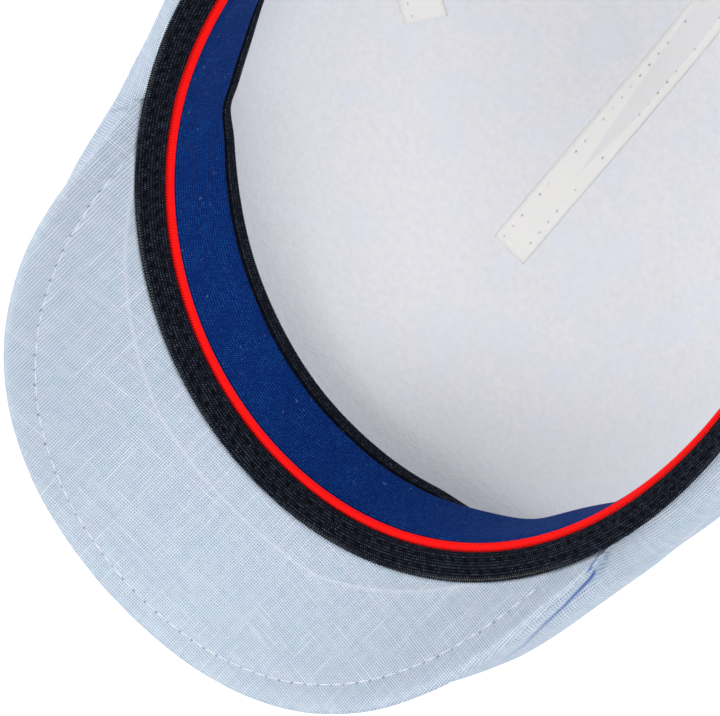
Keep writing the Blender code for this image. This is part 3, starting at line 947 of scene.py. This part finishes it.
# The gauze that shows through the seam tapes: how far up it starts, how much it widens, how far it
# lies from the middle, how soft its edge is, and its hatching.
GAUZE_START = 0.022
GAUZE_GROWTH = 0.10
GAUZE_SIDE = 0.001
GAUZE_SOFTNESS = 0.0008
GAUZE_HATCH = 0.0007

# The seam tapes' threads, their stitches as a share of the pitch, their needle holes, for which a
# length along the tape counts for less, and the thin line of painted shadow along one edge.
SEAM_TAPE_PITCH = 0.00045
SEAM_STITCH_SHARE = 0.95
SEAM_HOLE_ALONG = 0.6
SEAM_HOLE_RADIUS = 0.00030
SEAM_HOLE_CORE = 0.00010
SEAM_SHADOW_LINE_SHARE = 0.485
SEAM_SHADOW_LINE_HALF_WIDTH = 0.0002


def seam_tape_material(name):
    """Pale tape with two rows of needle holes, a gauze that widens along it, and a painted shadow line
    along one edge.
    """
    cloth = Cloth(name, "seam_tape", roughness=0.9, specular=0.10)
    weave = cloth.group("Plain weave", cloth.map, Pitch=SEAM_TAPE_PITCH, Slubs=0.3)
    x, y = cloth.split(cloth.map)
    step = stitch().pitch * SEAM_STITCH_SHARE
    row = stitch().seam_tape_width / 2 - stitch().seam_tape_inset
    reach = cloth.reach(cloth.beat(x, step) * (step * SEAM_HOLE_ALONG), abs(y) - row)
    chance = cloth.by_chance(cloth.maths("FLOOR", x / step), cloth.maths("SIGN", y))
    hole = cloth.spread(reach, SEAM_HOLE_RADIUS, SEAM_HOLE_CORE)
    hole = hole * cloth.spread(chance, 0.15, 0.9)
    tint = cloth.blend(weave["Gap"] * 0.12, "seam_tape", "seam_gauze")
    gauze = x * GAUZE_GROWTH - GAUZE_GROWTH * GAUZE_START - abs(y - GAUZE_SIDE)
    gauze = cloth.spread(gauze, 0.0, GAUZE_SOFTNESS) * cloth.maths("LESS_THAN", y, row)
    hatch = cloth.spread(cloth.wave(x + y, GAUZE_HATCH), -0.9, 0.9, 0.3, 1.0)
    tint = cloth.blend(gauze * hatch * 0.5, tint, "seam_gauze")
    # Painted shadow: a thin line along the tape's lifted edge.
    line = cloth.near(y, stitch().seam_tape_width * SEAM_SHADOW_LINE_SHARE, SEAM_SHADOW_LINE_HALF_WIDTH)
    tint = cloth.blend(line * 0.8, tint, "seam_gauze")
    tint = cloth.blend(hole, tint, "needle_hole")
    return cloth.finish(tint, weave["Height"] * 0.2 - hole, depth=0.00015)


def thread_material(name):
    """Pale, slightly fuzzy thread."""
    cloth = Cloth(name, "thread", roughness=0.6, specular=0.20)
    fibres = cloth.group("Fuzz", cloth.place, Fibre=4000.0, Mottle=900.0)
    tint = cloth.blend(fibres["Mottle"], "thread", "lining_shade")
    return cloth.finish(tint, fibres["Height"], depth=0.00005)


# What makes each material, when a piece first asks for it.
MATERIALS = {
    "linen_cloth": linen_material,
    "felt_cloth": lining_material,
    "black_cloth": black_tape_material,
    "red_cloth": red_material,
    "blue_cloth": blue_material,
    "pale_tape_cloth": seam_tape_material,
    "sewing_thread": thread_material,
}


# The strips of the sweatband.

# The edge tape's relief: its ribs, its stitches' depth and half their length as a share of the
# step, and the loops of its edge with the share of the width that they take.
TAPE_RIB = 0.00005
TAPE_STITCH_DEPTH = 0.00034
TAPE_STITCH_HALF_LENGTH = 0.22
TAPE_LOOP = 0.00014
TAPE_LOOP_SHARE = 0.1

# How high the red cord's ribs are, and how far it stands up, as a share of its thickness.
PIPING_RIB = 0.00003
PIPING_RISE = 0.25

# The blue band's shallow folds: how high they are, how far apart, and how much they slant.
BLUE_FOLDS = ((0.00022, 0.041, 0.35), (0.00012, 0.0235, -0.25))

# The binding's ribs and the loops of its free edge, with the share of the width where they start.
BINDING_RIB = 0.00005
BINDING_LOOP = 0.00010
BINDING_LOOP_START = 0.85

# Where the binding is turned in under the blue band, in degrees round the opening, how far back
# and under it lies there, and how far the blue band is let out.
TUCK_DEGREES = (24, 42, 72, 84)
TUCK_BACK = 0.0026
TUCK_UNDER = 0.0018
TUCK_BLUE = 0.0023


def tuck_share(along):
    """How far the binding is turned in, for lengths round the rim."""
    turns, lengths = rim_length_table()
    degrees = np.degrees(np.interp(along, lengths, turns))
    tuck = np.interp(degrees, TUCK_DEGREES, (0.0, 1.0, 1.0, 0.0))
    return tuck * tuck * (3 - 2 * tuck)


def tape_relief(along, place, top, ribs):
    """Cross ribs and a looped edge, with two staggered rows of sunken stitches."""
    width = band().edge_tape_width
    lift = TAPE_RIB * ribs * top
    for row, share in enumerate(TAPE_STITCH_SHARES):
        offset = place - width * share
        phase = ((along + offset * TAPE_STITCH_SLANT) / tape_stitch_step() + row / 2) % 1 - 0.5
        dent = bell(offset, TAPE_STITCH_HALF_WIDTH) * bell(phase, TAPE_STITCH_HALF_LENGTH)
        lift = lift - TAPE_STITCH_DEPTH * dent * top
    edge = np.maximum(0.0, 1 - place / (TAPE_LOOP_SHARE * width))
    return TAPE_LOOP * ribs * edge, lift


def piping_relief(along, place, top, ribs):
    """Fine cross ribs."""
    return 0.0, PIPING_RIB * ribs * top


def blue_relief(along, place, top, ribs):
    """Slow, shallow folds across the band, and cloth let out where the binding is turned in."""
    share = (place - band_starts()[1]) / band().blue_width
    folds = sum(
        height * np.sin(2 * math.pi * (along / apart + share * slant))
        for height, apart, slant in BLUE_FOLDS
    )
    return TUCK_BLUE * share * tuck_share(along), folds * share * top


def binding_relief(along, place, top, ribs):
    """Cross ribs, and a slightly looped free edge that is turned in along one stretch."""
    share = (place - band_starts()[2]) / band().binding_width
    edge = np.maximum(0.0, share - BINDING_LOOP_START) / (1 - BINDING_LOOP_START)
    tuck = tuck_share(along)
    shift = BINDING_LOOP * ribs * edge - tuck * TUCK_BACK
    return shift, BINDING_RIB * ribs * top - tuck * TUCK_UNDER


def make_sweatband():
    """The strips of the sweatband, from the rim inwards."""
    piping, blue, binding, _ = band_starts()
    strips = band()
    section = strip_section(
        0.0, strips.edge_tape_width, strips.edge_tape_thickness, face_steps=18, back_steps=4,
    )
    make_strip("black_edge_tape", section, tape_relief, "black_cloth",
               "sweatband_edge_tape")
    place, below, top = strip_section(
        piping, strips.piping_diameter, strips.piping_diameter, face_steps=8, back_steps=6,
        squareness=2,
    )
    section = place, below - strips.piping_diameter * PIPING_RISE, top
    make_strip("red_cord", section, piping_relief, "red_cloth", "red_piping")
    section = strip_section(blue, strips.blue_width, strips.blue_thickness, face_steps=60, back_steps=5)
    make_strip("blue_ribbed_band", section, blue_relief, "blue_cloth",
               "blue_band", samples_per_rib=0.4)
    section = strip_section(
        binding, strips.binding_width, strips.binding_thickness, face_steps=10, back_steps=4,
        squareness=4,
    )
    make_strip("black_binding", section, binding_relief, "black_cloth",
               "inner_binding")


# The crown and its lining.

# The arc that the crown's walls follow in cross-section: where its middle lies in from the rim
# and down, its radius, and how far round it the flat top begins.
WALL_MIDDLE_IN = 0.016
WALL_MIDDLE_DOWN = 0.028
WALL_RADIUS = 0.030
TOP_START = math.radians(150)

# The point that the seams are seen from, as a share of the crown's depth.
SEAM_EYE_SHARE = 0.25

# The outer seams: how far they run in from their start, how deep and wide they are drawn in, and
# how far the cloth puffs up beside them, at what distance and how wide.
SEAM_RUN_IN = 0.004
SEAM_DRAWN_IN = 0.0007
SEAM_HALF_WIDTH = 0.0009
SEAM_PUFF = 0.00022
SEAM_PUFF_SIDE = 0.0028
SEAM_PUFF_HALF_WIDTH = 0.0016

# How near a seam or a crease the crown's mesh is finer, and how far down the creases go.
SEAM_FINE_REACH = 0.006
SEAM_FINE_BEFORE = 0.003
CREASE_FINE_REACH = 0.008
CREASE_FINE_DEPTH = 0.014
CREASE_LOWEST = 0.012

# Soft unevenness, as rows of scale, seed and height. The crown's fades out between two heights
# above what it rests on.
CROWN_RIPPLES = ((45.0, 3.0, 0.0005), (110.0, 9.0, 0.00018))
LINING_RIPPLES = ((38.0, 5.0, 0.0003), (90.0, 2.0, 0.0001))
CROWN_STILL_HEIGHT = 0.003
CROWN_FREE_HEIGHT = 0.015

# Down the crown's wall, where the painted blue light bounced from the sweatband has faded out, and
# where it is full.
BOUNCE_LIGHT_END = 0.058
BOUNCE_LIGHT_START = 0.022


def map_bowl(mesh):
    """Maps the crown's cloth in metres: round and down its walls, and flat across its top."""
    places, _ = mesh_arrays(mesh)
    turns, lengths = rim_length_table()
    turn = np.arctan2(places[:, 0] / sizes().half_width, -places[:, 1] / sizes().half_length)
    rim = np.hypot(sizes().half_width * np.sin(turn), sizes().half_length * np.cos(turn))
    beyond = np.hypot(places[:, 0], places[:, 1]) - rim
    bend = np.arctan2(beyond + WALL_MIDDLE_IN, places[:, 2] + WALL_MIDDLE_DOWN) % (2 * math.pi)
    run = np.interp(turn, turns, lengths)

    def place_of(corners):
        if bend[corners].max() >= TOP_START:
            return places[corners, :2]
        across = run[corners]
        if np.ptp(across) > lengths[-1] / 2:
            across = np.where(across < lengths[-1] / 2, across + lengths[-1], across)
        return np.stack([across, bend[corners] * WALL_RADIUS], -1)

    map_faces(mesh, place_of, "cloth")


def seam_eye():
    """The point inside the hollow that the seams are seen from."""
    return Vector((0, 0, -sizes().crown_depth * SEAM_EYE_SHARE))


def seam_planes():
    """Each seam's name, its start and end from the eye, and the normal of its plane."""
    scale = Vector((sizes().half_width, sizes().half_length, -sizes().crown_depth))
    planes = []
    for row in SEAM_ROWS:
        seam = dict(zip(SEAM_COLUMNS, row))
        start, end = (
            Vector((seam[at + "_x"], seam[at + "_y"], seam[at + "_depth"])) * scale - seam_eye()
            for at in ("start", "end")
        )
        planes.append((seam["name"], start, end, start.cross(end).normalized()))
    return planes


def seam_offsets(places):
    """For each seam, how far places lie beside it and in from its start, and if they face it."""
    away = places - np.array(seam_eye())
    for _, start, end, normal in seam_planes():
        inward = away @ np.array(normal.cross(start).normalized())
        yield away @ np.array(normal), inward, away @ np.array(start + end) > 0


def faces_out(places, normals):
    """1 on the outer side of the crown or the lining, and 0 on its inner side."""
    away = places - np.array(seam_eye())
    return ((away * normals).sum(1) > 0).astype(float)


def seam_grooves(places):
    """How far the seams puff the outside up beside them, less how deep they draw it in."""
    total = np.zeros(len(places))
    for offset, inward, facing in seam_offsets(places):
        puff = SEAM_PUFF * bell(np.abs(offset) - SEAM_PUFF_SIDE, SEAM_PUFF_HALF_WIDTH)
        groove = SEAM_DRAWN_IN * bell(offset, SEAM_HALF_WIDTH)
        total += ramp(inward, 0.0, SEAM_RUN_IN) * facing * (puff - groove)
    return total


def crease_marks(places):
    """How far each place lies from the nearest crease, with a sign, and how strong that is."""
    least, marks, strengths = np.full(len(places), 1.0), np.ones(len(places)), np.zeros(len(places))
    for rows in CREASES:
        table = np.array(rows)
        steps = np.linspace(0, len(rows) - 1, CREASE_STEPS * len(rows))
        line = np.stack([np.interp(steps, np.arange(len(rows)), part) for part in table.T], -1)
        k, gap = nearest(places[:, :2], line[:, :2])
        side = np.sign(np.abs(places[:, 0]) - np.abs(line[k, 0]))
        closer = gap < least
        least = np.minimum(least, gap)
        marks = np.where(closer, gap * side, marks)
        strengths = np.where(closer, line[k, 2] * (gap < CREASE_REACH), strengths)
    return marks, strengths * (places[:, 2] > -CREASE_LOWEST)


def make_crown():
    """The linen crown, drawn in along its seams, pressed in at its creases and darkened there with
    painted shade.
    """
    mesh = cloth_copy("crown", levels=2)
    places, _ = mesh_arrays(mesh)
    close = np.zeros(len(places), bool)
    for offset, inward, facing in seam_offsets(places):
        close |= (np.abs(offset) < SEAM_FINE_REACH) & (inward > -SEAM_FINE_BEFORE) & facing
    refine(mesh, close, cuts=1)
    places, _ = mesh_arrays(mesh)
    close = np.zeros(len(places), bool)
    for rows in CREASES:
        _, gap = nearest(places[:, :2], np.array(rows)[:, :2])
        close |= (gap < CREASE_FINE_REACH) & (places[:, 2] > -CREASE_FINE_DEPTH)
    refine(mesh, close, cuts=2)
    mesh.normal_update()
    places, normals = mesh_arrays(mesh)
    out = faces_out(places, normals)
    free = ramp(moved(places, cap_pose())[:, 2], CROWN_STILL_HEIGHT, CROWN_FREE_HEIGHT)
    marks, strengths = crease_marks(places)
    pressed = CREASE_DEPTH * strengths * bell(marks, CREASE_HALF_WIDTH * CREASE_DENT_SHARE)
    rise = ripples(places, CROWN_RIPPLES) * free + seam_grooves(places) - pressed
    move_along_normals(mesh, rise * out)
    # Marks where painted shade darkens the creases on the crown.
    mark_points(mesh, "crease_shade", 1.0 + marks)
    mark_points(mesh, "crease_shade_strength", strengths * out * (places[:, 1] < -PEAK_CREASE_END))
    map_bowl(mesh)
    return finish_piece("linen_crown", mesh, "linen_cloth", "crown")


def make_lining():
    """The felt lining, softly uneven inside, and marked for painted blue light bounced from the
    sweatband.
    """
    mesh = cloth_copy("crown_lining", levels=2)
    places, normals = mesh_arrays(mesh)
    move_along_normals(mesh, ripples(places, LINING_RIPPLES) * (1 - faces_out(places, normals)))
    map_bowl(mesh)
    # Marks the upper wall, where painted blue light bounced from the sweatband falls.
    mark_points(mesh, "blue_bounce_light", ramp(places[:, 2], -BOUNCE_LIGHT_END, -BOUNCE_LIGHT_START))
    return finish_piece("felt_lining", mesh, "felt_cloth", "crown_lining")


def piece_tree(piece):
    """The faces of a finished piece, for laying other pieces on it, in the cap's frame."""
    places = np.array([vert.co[:] for vert in piece.data.vertices])
    faces = [face.vertices[:] for face in piece.data.polygons]
    return BVHTree.FromPolygons(moved(places, cap_pose().inverted()).tolist(), faces)


# Into how many steps a seam tape is cut along it, and how many points lie across its face.
SEAM_TAPE_STEPS = 90
SEAM_TAPE_ACROSS = 9


def make_seam_tape(name, start, end, across, lining):
    """A tape over a seam, laid on the lining from inside the hollow."""
    eye, half, thick = seam_eye(), stitch().seam_tape_width / 2, stitch().seam_tape_thickness
    sides = [*np.linspace(-half, half, SEAM_TAPE_ACROSS), half, 0.0, -half, -half]
    heights = [thick] * SEAM_TAPE_ACROSS + [0.0] * 3 + [thick]
    points, places, run, before = [], [], 0.0, None
    for k in range(SEAM_TAPE_STEPS + 1):
        aim = start.normalized().slerp(end.normalized(), k / SEAM_TAPE_STEPS)
        middle = lining.ray_cast(eye, aim)[0]
        run += (middle - before).length if before else 0.0
        before = middle
        column = []
        for side, height in zip(sides, heights):
            away = middle + across * float(side) - eye
            place, normal, _, _ = lining.ray_cast(eye, away.normalized())
            towards_eye = -1 if normal.dot(away) > 0 else 1
            column.append(place + normal * towards_eye * (stitch().seam_tape_gap + height))
        points.append(column)
        places.append([(run, side) for side in sides])
    mesh = grid_mesh(np.array(points).transpose(1, 0, 2), np.array(places).transpose(1, 0, 2))
    return finish_piece(name + "_cloth", mesh, "pale_tape_cloth", name)


# The peak.

# The turns between which the peak's edge and its stitched line run, in radians from its front,
# and into how many steps they are cut.
PEAK_EDGE_TURN = 1.75
PEAK_EDGE_STEPS = 700
PEAK_STITCH_TURN = 1.48
PEAK_STITCH_STEPS = 1200

# The ridge of the seam allowance under the peak's linen: its turn round the opening in degrees,
# and how far it lies out from the rim.
RIDGE_ROWS = ((-58, 0.0), (-18, 0.0073), (-8, 0.0076), (17, 0.0073), (46, 0.0))
RIDGE_STEPS = 460
RIDGE_HEIGHT = 0.00022
RIDGE_HALF_WIDTH = 0.0007

# How deep and wide the topstitching draws the peak in, and the peak's soft unevenness.
PEAK_DRAWN_IN = 0.00026
PEAK_DRAWN_HALF_WIDTH = 0.0008
PEAK_RIPPLES = ((120.0, 4.0, 0.00012),)

# A stitch: half its length as a share of the pitch, how high its middle lies over the linen as a
# share of the thread, and how far ahead the linen is felt for its direction. The linen is felt
# from a height and in a direction up or down, for the peak's two faces.
STITCH_HALF_SHARE = 0.44
STITCH_RISE = 0.1
STITCH_AHEAD = 0.0005
STITCH_VIEWS = ((0.1, -1.0), (-0.2, 1.0))


def peak_oval(turn):
    """The peak's outline in plan. The turn is 0 at its front and 90 degrees where it is widest."""
    long = sizes().half_length + sizes().peak_reach - sizes().peak_widest_place
    x = sizes().peak_half_width * np.sin(turn) - sizes().peak_skew * np.maximum(np.cos(turn), 0.0)
    return np.stack([x, -sizes().peak_widest_place - long * np.cos(turn)], -1)


def peak_stitch_line():
    """The topstitched line in plan, and the length along it at each of its points."""
    outline = peak_oval(np.linspace(-PEAK_STITCH_TURN, PEAK_STITCH_TURN, PEAK_STITCH_STEPS + 1))
    run = unit(np.gradient(outline, axis=0))
    inner = outline + np.stack([-run[:, 1], run[:, 0]], -1) * stitch().peak_inset
    return inner, run_lengths(inner)


def peak_ridge_distance(plan):
    """How far places in plan lie outside the ridge of the seam allowance under the linen."""
    degrees, reaches = np.array(RIDGE_ROWS).T
    turn = np.radians(np.linspace(degrees[0], degrees[-1], RIDGE_STEPS + 1))
    rim, outward = rim_points(turn)
    reach = np.interp(turn, np.radians(degrees), reaches)
    line = rim[:, :2] + outward * reach[:, None]
    k, gap = nearest(plan, line)
    return gap * np.sign(((plan - line[k]) * outward[k]).sum(1))


def make_peak():
    """The linen peak, with its ridge and the ridge's painted highlight, the groove of its topstitching
    and the painted shade of its creases.
    """
    mesh = cloth_copy("peak", levels=3)
    places, normals = mesh_arrays(mesh)
    plan, upper = places[:, :2], normals[:, 2] > 0
    edge = peak_oval(np.linspace(-PEAK_EDGE_TURN, PEAK_EDGE_TURN, PEAK_EDGE_STEPS + 1))
    _, inset = nearest(plan, edge)
    line, lengths = peak_stitch_line()
    k, _ = nearest(plan, line)
    ridge = peak_ridge_distance(plan)
    drawn_in = PEAK_DRAWN_IN * bell(inset - stitch().peak_inset, PEAK_DRAWN_HALF_WIDTH)
    raised = RIDGE_HEIGHT * bell(ridge, RIDGE_HALF_WIDTH) * upper
    move_along_normals(mesh, raised - drawn_in + ripples(places, PEAK_RIPPLES))
    slant = sizes().peak_slant
    up = places[:, 1] * math.cos(slant) - places[:, 2] * math.sin(slant)
    map_points(mesh, np.stack([places[:, 0], up], -1))
    # Past the ends of the stitched line the inset is a metre more, so that no hole shows there.
    past_ends = (k == 0) | (k == len(line) - 1)
    map_points(mesh, np.stack([lengths[k], inset + past_ends], -1), "edge")
    marks, strengths = crease_marks(places)
    # Marks where painted shade darkens the creases on the peak.
    mark_points(mesh, "crease_shade", 1.0 + marks)
    mark_points(mesh, "crease_shade_strength", strengths * (places[:, 1] > -PEAK_CREASE_END))
    # Marks the ridge on the upper face for its painted highlight.
    mark_points(mesh, "ridge", np.where(upper, 1.0 + ridge, 0.0))
    return finish_piece("linen_peak", mesh, "linen_cloth", "peak")


def add_stitch(mesh, middle, along, normal):
    """One stitch: a long bead of thread sunk a little at both ends."""
    turn = Matrix((along, normal.cross(along).normalized(), normal)).transposed().to_4x4()
    half_thread = stitch().thread / 2
    size = Matrix.Diagonal((stitch().pitch * STITCH_HALF_SHARE, half_thread, half_thread, 1.0))
    matrix = Matrix.Translation(middle) @ turn @ size
    bmesh.ops.create_uvsphere(mesh, u_segments=8, v_segments=6, radius=1.0, matrix=matrix)


def make_peak_stitching(peak):
    """One row of topstitching on both faces of the peak."""
    tree = piece_tree(peak)
    line, lengths = peak_stitch_line()
    mesh = bmesh.new()
    for k in range(int(lengths[-1] / stitch().pitch)):
        at = (k + 0.5) * stitch().pitch
        spots = [
            [float(np.interp(at + ahead, lengths, line[:, axis])) for axis in (0, 1)]
            for ahead in (0.0, STITCH_AHEAD)
        ]
        for height, down in STITCH_VIEWS:
            (place, normal, _, _), (further, _, _, _) = (
                tree.ray_cast(Vector((*spot, height)), Vector((0, 0, down))) for spot in spots
            )
            if place is None or further is None:
                continue
            along = (further - place).normalized()
            normal = (normal - along * normal.dot(along)).normalized()
            add_stitch(mesh, place + normal * stitch().thread * STITCH_RISE, along, normal)
    mesh.loops.layers.uv.new("cloth")
    return finish_piece("peak_topstitching", mesh, "sewing_thread", None)


# The floor, the light and the camera.


def way_to(turn, height):
    """The direction at a turn from the back of the cap and at a height."""
    level = math.cos(height)
    return Vector((math.sin(turn) * level, math.cos(turn) * level, math.sin(height)))


def make_camera():
    """The camera at the photograph's angle."""
    stage = bpy.context.scene.flat_cap_stage
    back = way_to(stage.azimuth, stage.elevation)
    right = Vector((0, -1, 0)).cross(back).normalized()
    turn = Matrix((right, back.cross(right), back)).transposed().to_4x4()
    data = bpy.data.cameras.new("camera")
    data.lens, data.sensor_width = stage.focal, stage.sensor
    data.clip_start, data.clip_end = CAMERA_NEAR, CAMERA_FAR
    camera = add_object("camera", data)
    place = Matrix.Translation(CAMERA_TARGET + back * stage.distance)
    camera.matrix_world = cap_pose() @ place @ turn @ Matrix.Rotation(stage.roll, 4, "Z")
    bpy.context.scene.camera = camera


def make_lamp(row):
    stage = bpy.context.scene.flat_cap_stage
    data = bpy.data.lights.new(row["name"], "AREA")
    data.shape, data.size, data.energy = "DISK", stage.lamp_size, stage.lamp * row["share"]
    way = way_to(math.radians(row["turn"]), math.radians(row["height"]))
    lamp = add_object(row["name"], data)
    turn = way.to_track_quat("Z", "Y").to_matrix().to_4x4()
    lamp.matrix_world = Matrix.Translation(way * stage.lamp_distance) @ turn
    lamp.visible_camera = False


def make_floor():
    stage = bpy.context.scene.flat_cap_stage
    mesh = bmesh.new()
    bmesh.ops.create_grid(mesh, x_segments=1, y_segments=1, size=FLOOR_HALF_WIDTH)
    material = bpy.data.materials.new("floor")
    material.use_nodes = True
    set_inputs(
        material.node_tree.nodes["Principled BSDF"], Base_Color=rgba(stage.floor_tone),
        Roughness=1.0, Specular_IOR_Level=0.0, Emission_Color=rgba(stage.floor_tone),
        Emission_Strength=stage.floor_glow,
    )
    data = mesh_data("floor", mesh)
    data.materials.append(material)
    add_object("floor", data)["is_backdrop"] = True


def make_stage():
    scene = bpy.context.scene
    scene.view_settings.view_transform = "Standard"
    make_floor()
    scene.world = bpy.data.worlds.new("even_light")
    scene.world.use_nodes = True
    sky = scene.world.node_tree.nodes["Background"]
    set_inputs(sky, Color=(1.0, 1.0, 1.0, 1.0), Strength=scene.flat_cap_stage.light)
    for row in LAMP_ROWS:
        make_lamp(dict(zip(LAMP_COLUMNS, row)))
    make_camera()


# The add-on.


class CapOperator:
    """What the cap's operators share."""

    bl_options = {"REGISTER", "UNDO"}


class FLATCAP_OT_crown(CapOperator, bpy.types.Operator):
    """Makes the linen crown with its seams"""

    bl_idname = "flatcap.crown"
    bl_label = "Crown"

    def execute(self, context):
        make_crown()
        return {"FINISHED"}


class FLATCAP_OT_lining(CapOperator, bpy.types.Operator):
    """Makes the felt lining and the tapes over its seams"""

    bl_idname = "flatcap.lining"
    bl_label = "Lining and seam tapes"

    def execute(self, context):
        tree = piece_tree(make_lining())
        for row in seam_planes():
            make_seam_tape(*row, tree)
        return {"FINISHED"}


class FLATCAP_OT_peak(CapOperator, bpy.types.Operator):
    """Makes the linen peak and its topstitching"""

    bl_idname = "flatcap.peak"
    bl_label = "Peak"

    def execute(self, context):
        make_peak_stitching(make_peak())
        return {"FINISHED"}


class FLATCAP_OT_sweatband(CapOperator, bpy.types.Operator):
    """Makes the strips of the sweatband"""

    bl_idname = "flatcap.sweatband"
    bl_label = "Sweatband"

    def execute(self, context):
        make_sweatband()
        return {"FINISHED"}


class FLATCAP_OT_stage(CapOperator, bpy.types.Operator):
    """Makes the floor, the light and the camera"""

    bl_idname = "flatcap.stage"
    bl_label = "Floor, light and camera"

    def execute(self, context):
        make_stage()
        return {"FINISHED"}


class FLATCAP_PT_panel(bpy.types.Panel):
    """Lists the cap's operators, sizes and colours"""

    bl_idname = "FLATCAP_PT_panel"
    bl_label = "Flat Cap"
    bl_space_type = "VIEW_3D"
    bl_region_type = "UI"
    bl_category = "Flat Cap"

    def draw(self, context):
        for operator in OPERATORS:
            self.layout.operator(operator.bl_idname)
        for name in GROUPS:
            group = getattr(context.scene, name)
            box = self.layout.box()
            for key in group.bl_rna.properties.keys():
                if key not in {"rna_type", "name"}:
                    box.prop(group, key)


OPERATORS = (
    FLATCAP_OT_crown, FLATCAP_OT_lining, FLATCAP_OT_peak, FLATCAP_OT_sweatband, FLATCAP_OT_stage,
)
GROUPS = {
    "flat_cap_sizes": CapSizes,
    "flat_cap_band": BandSizes,
    "flat_cap_stitch": StitchSizes,
    "flat_cap_colours": CapColours,
    "flat_cap_stage": StageSettings,
}


def register():
    for cls in (*GROUPS.values(), *OPERATORS, FLATCAP_PT_panel):
        bpy.utils.register_class(cls)
    for name, cls in GROUPS.items():
        setattr(bpy.types.Scene, name, bpy.props.PointerProperty(type=cls))


def unregister():
    for name in GROUPS:
        delattr(bpy.types.Scene, name)
    for cls in reversed((*GROUPS.values(), *OPERATORS, FLATCAP_PT_panel)):
        bpy.utils.unregister_class(cls)


def main():
    register()
    bpy.ops.flatcap.stage()
    bpy.ops.flatcap.crown()
    bpy.ops.flatcap.lining()
    bpy.ops.flatcap.peak()
    bpy.ops.flatcap.sweatband()
    boxes = {"cad": CAD_BOX, "visual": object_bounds()}
    boxes = {name: [list(corner) for corner in box] for name, box in boxes.items()}


if __name__ == "__main__":
    main()
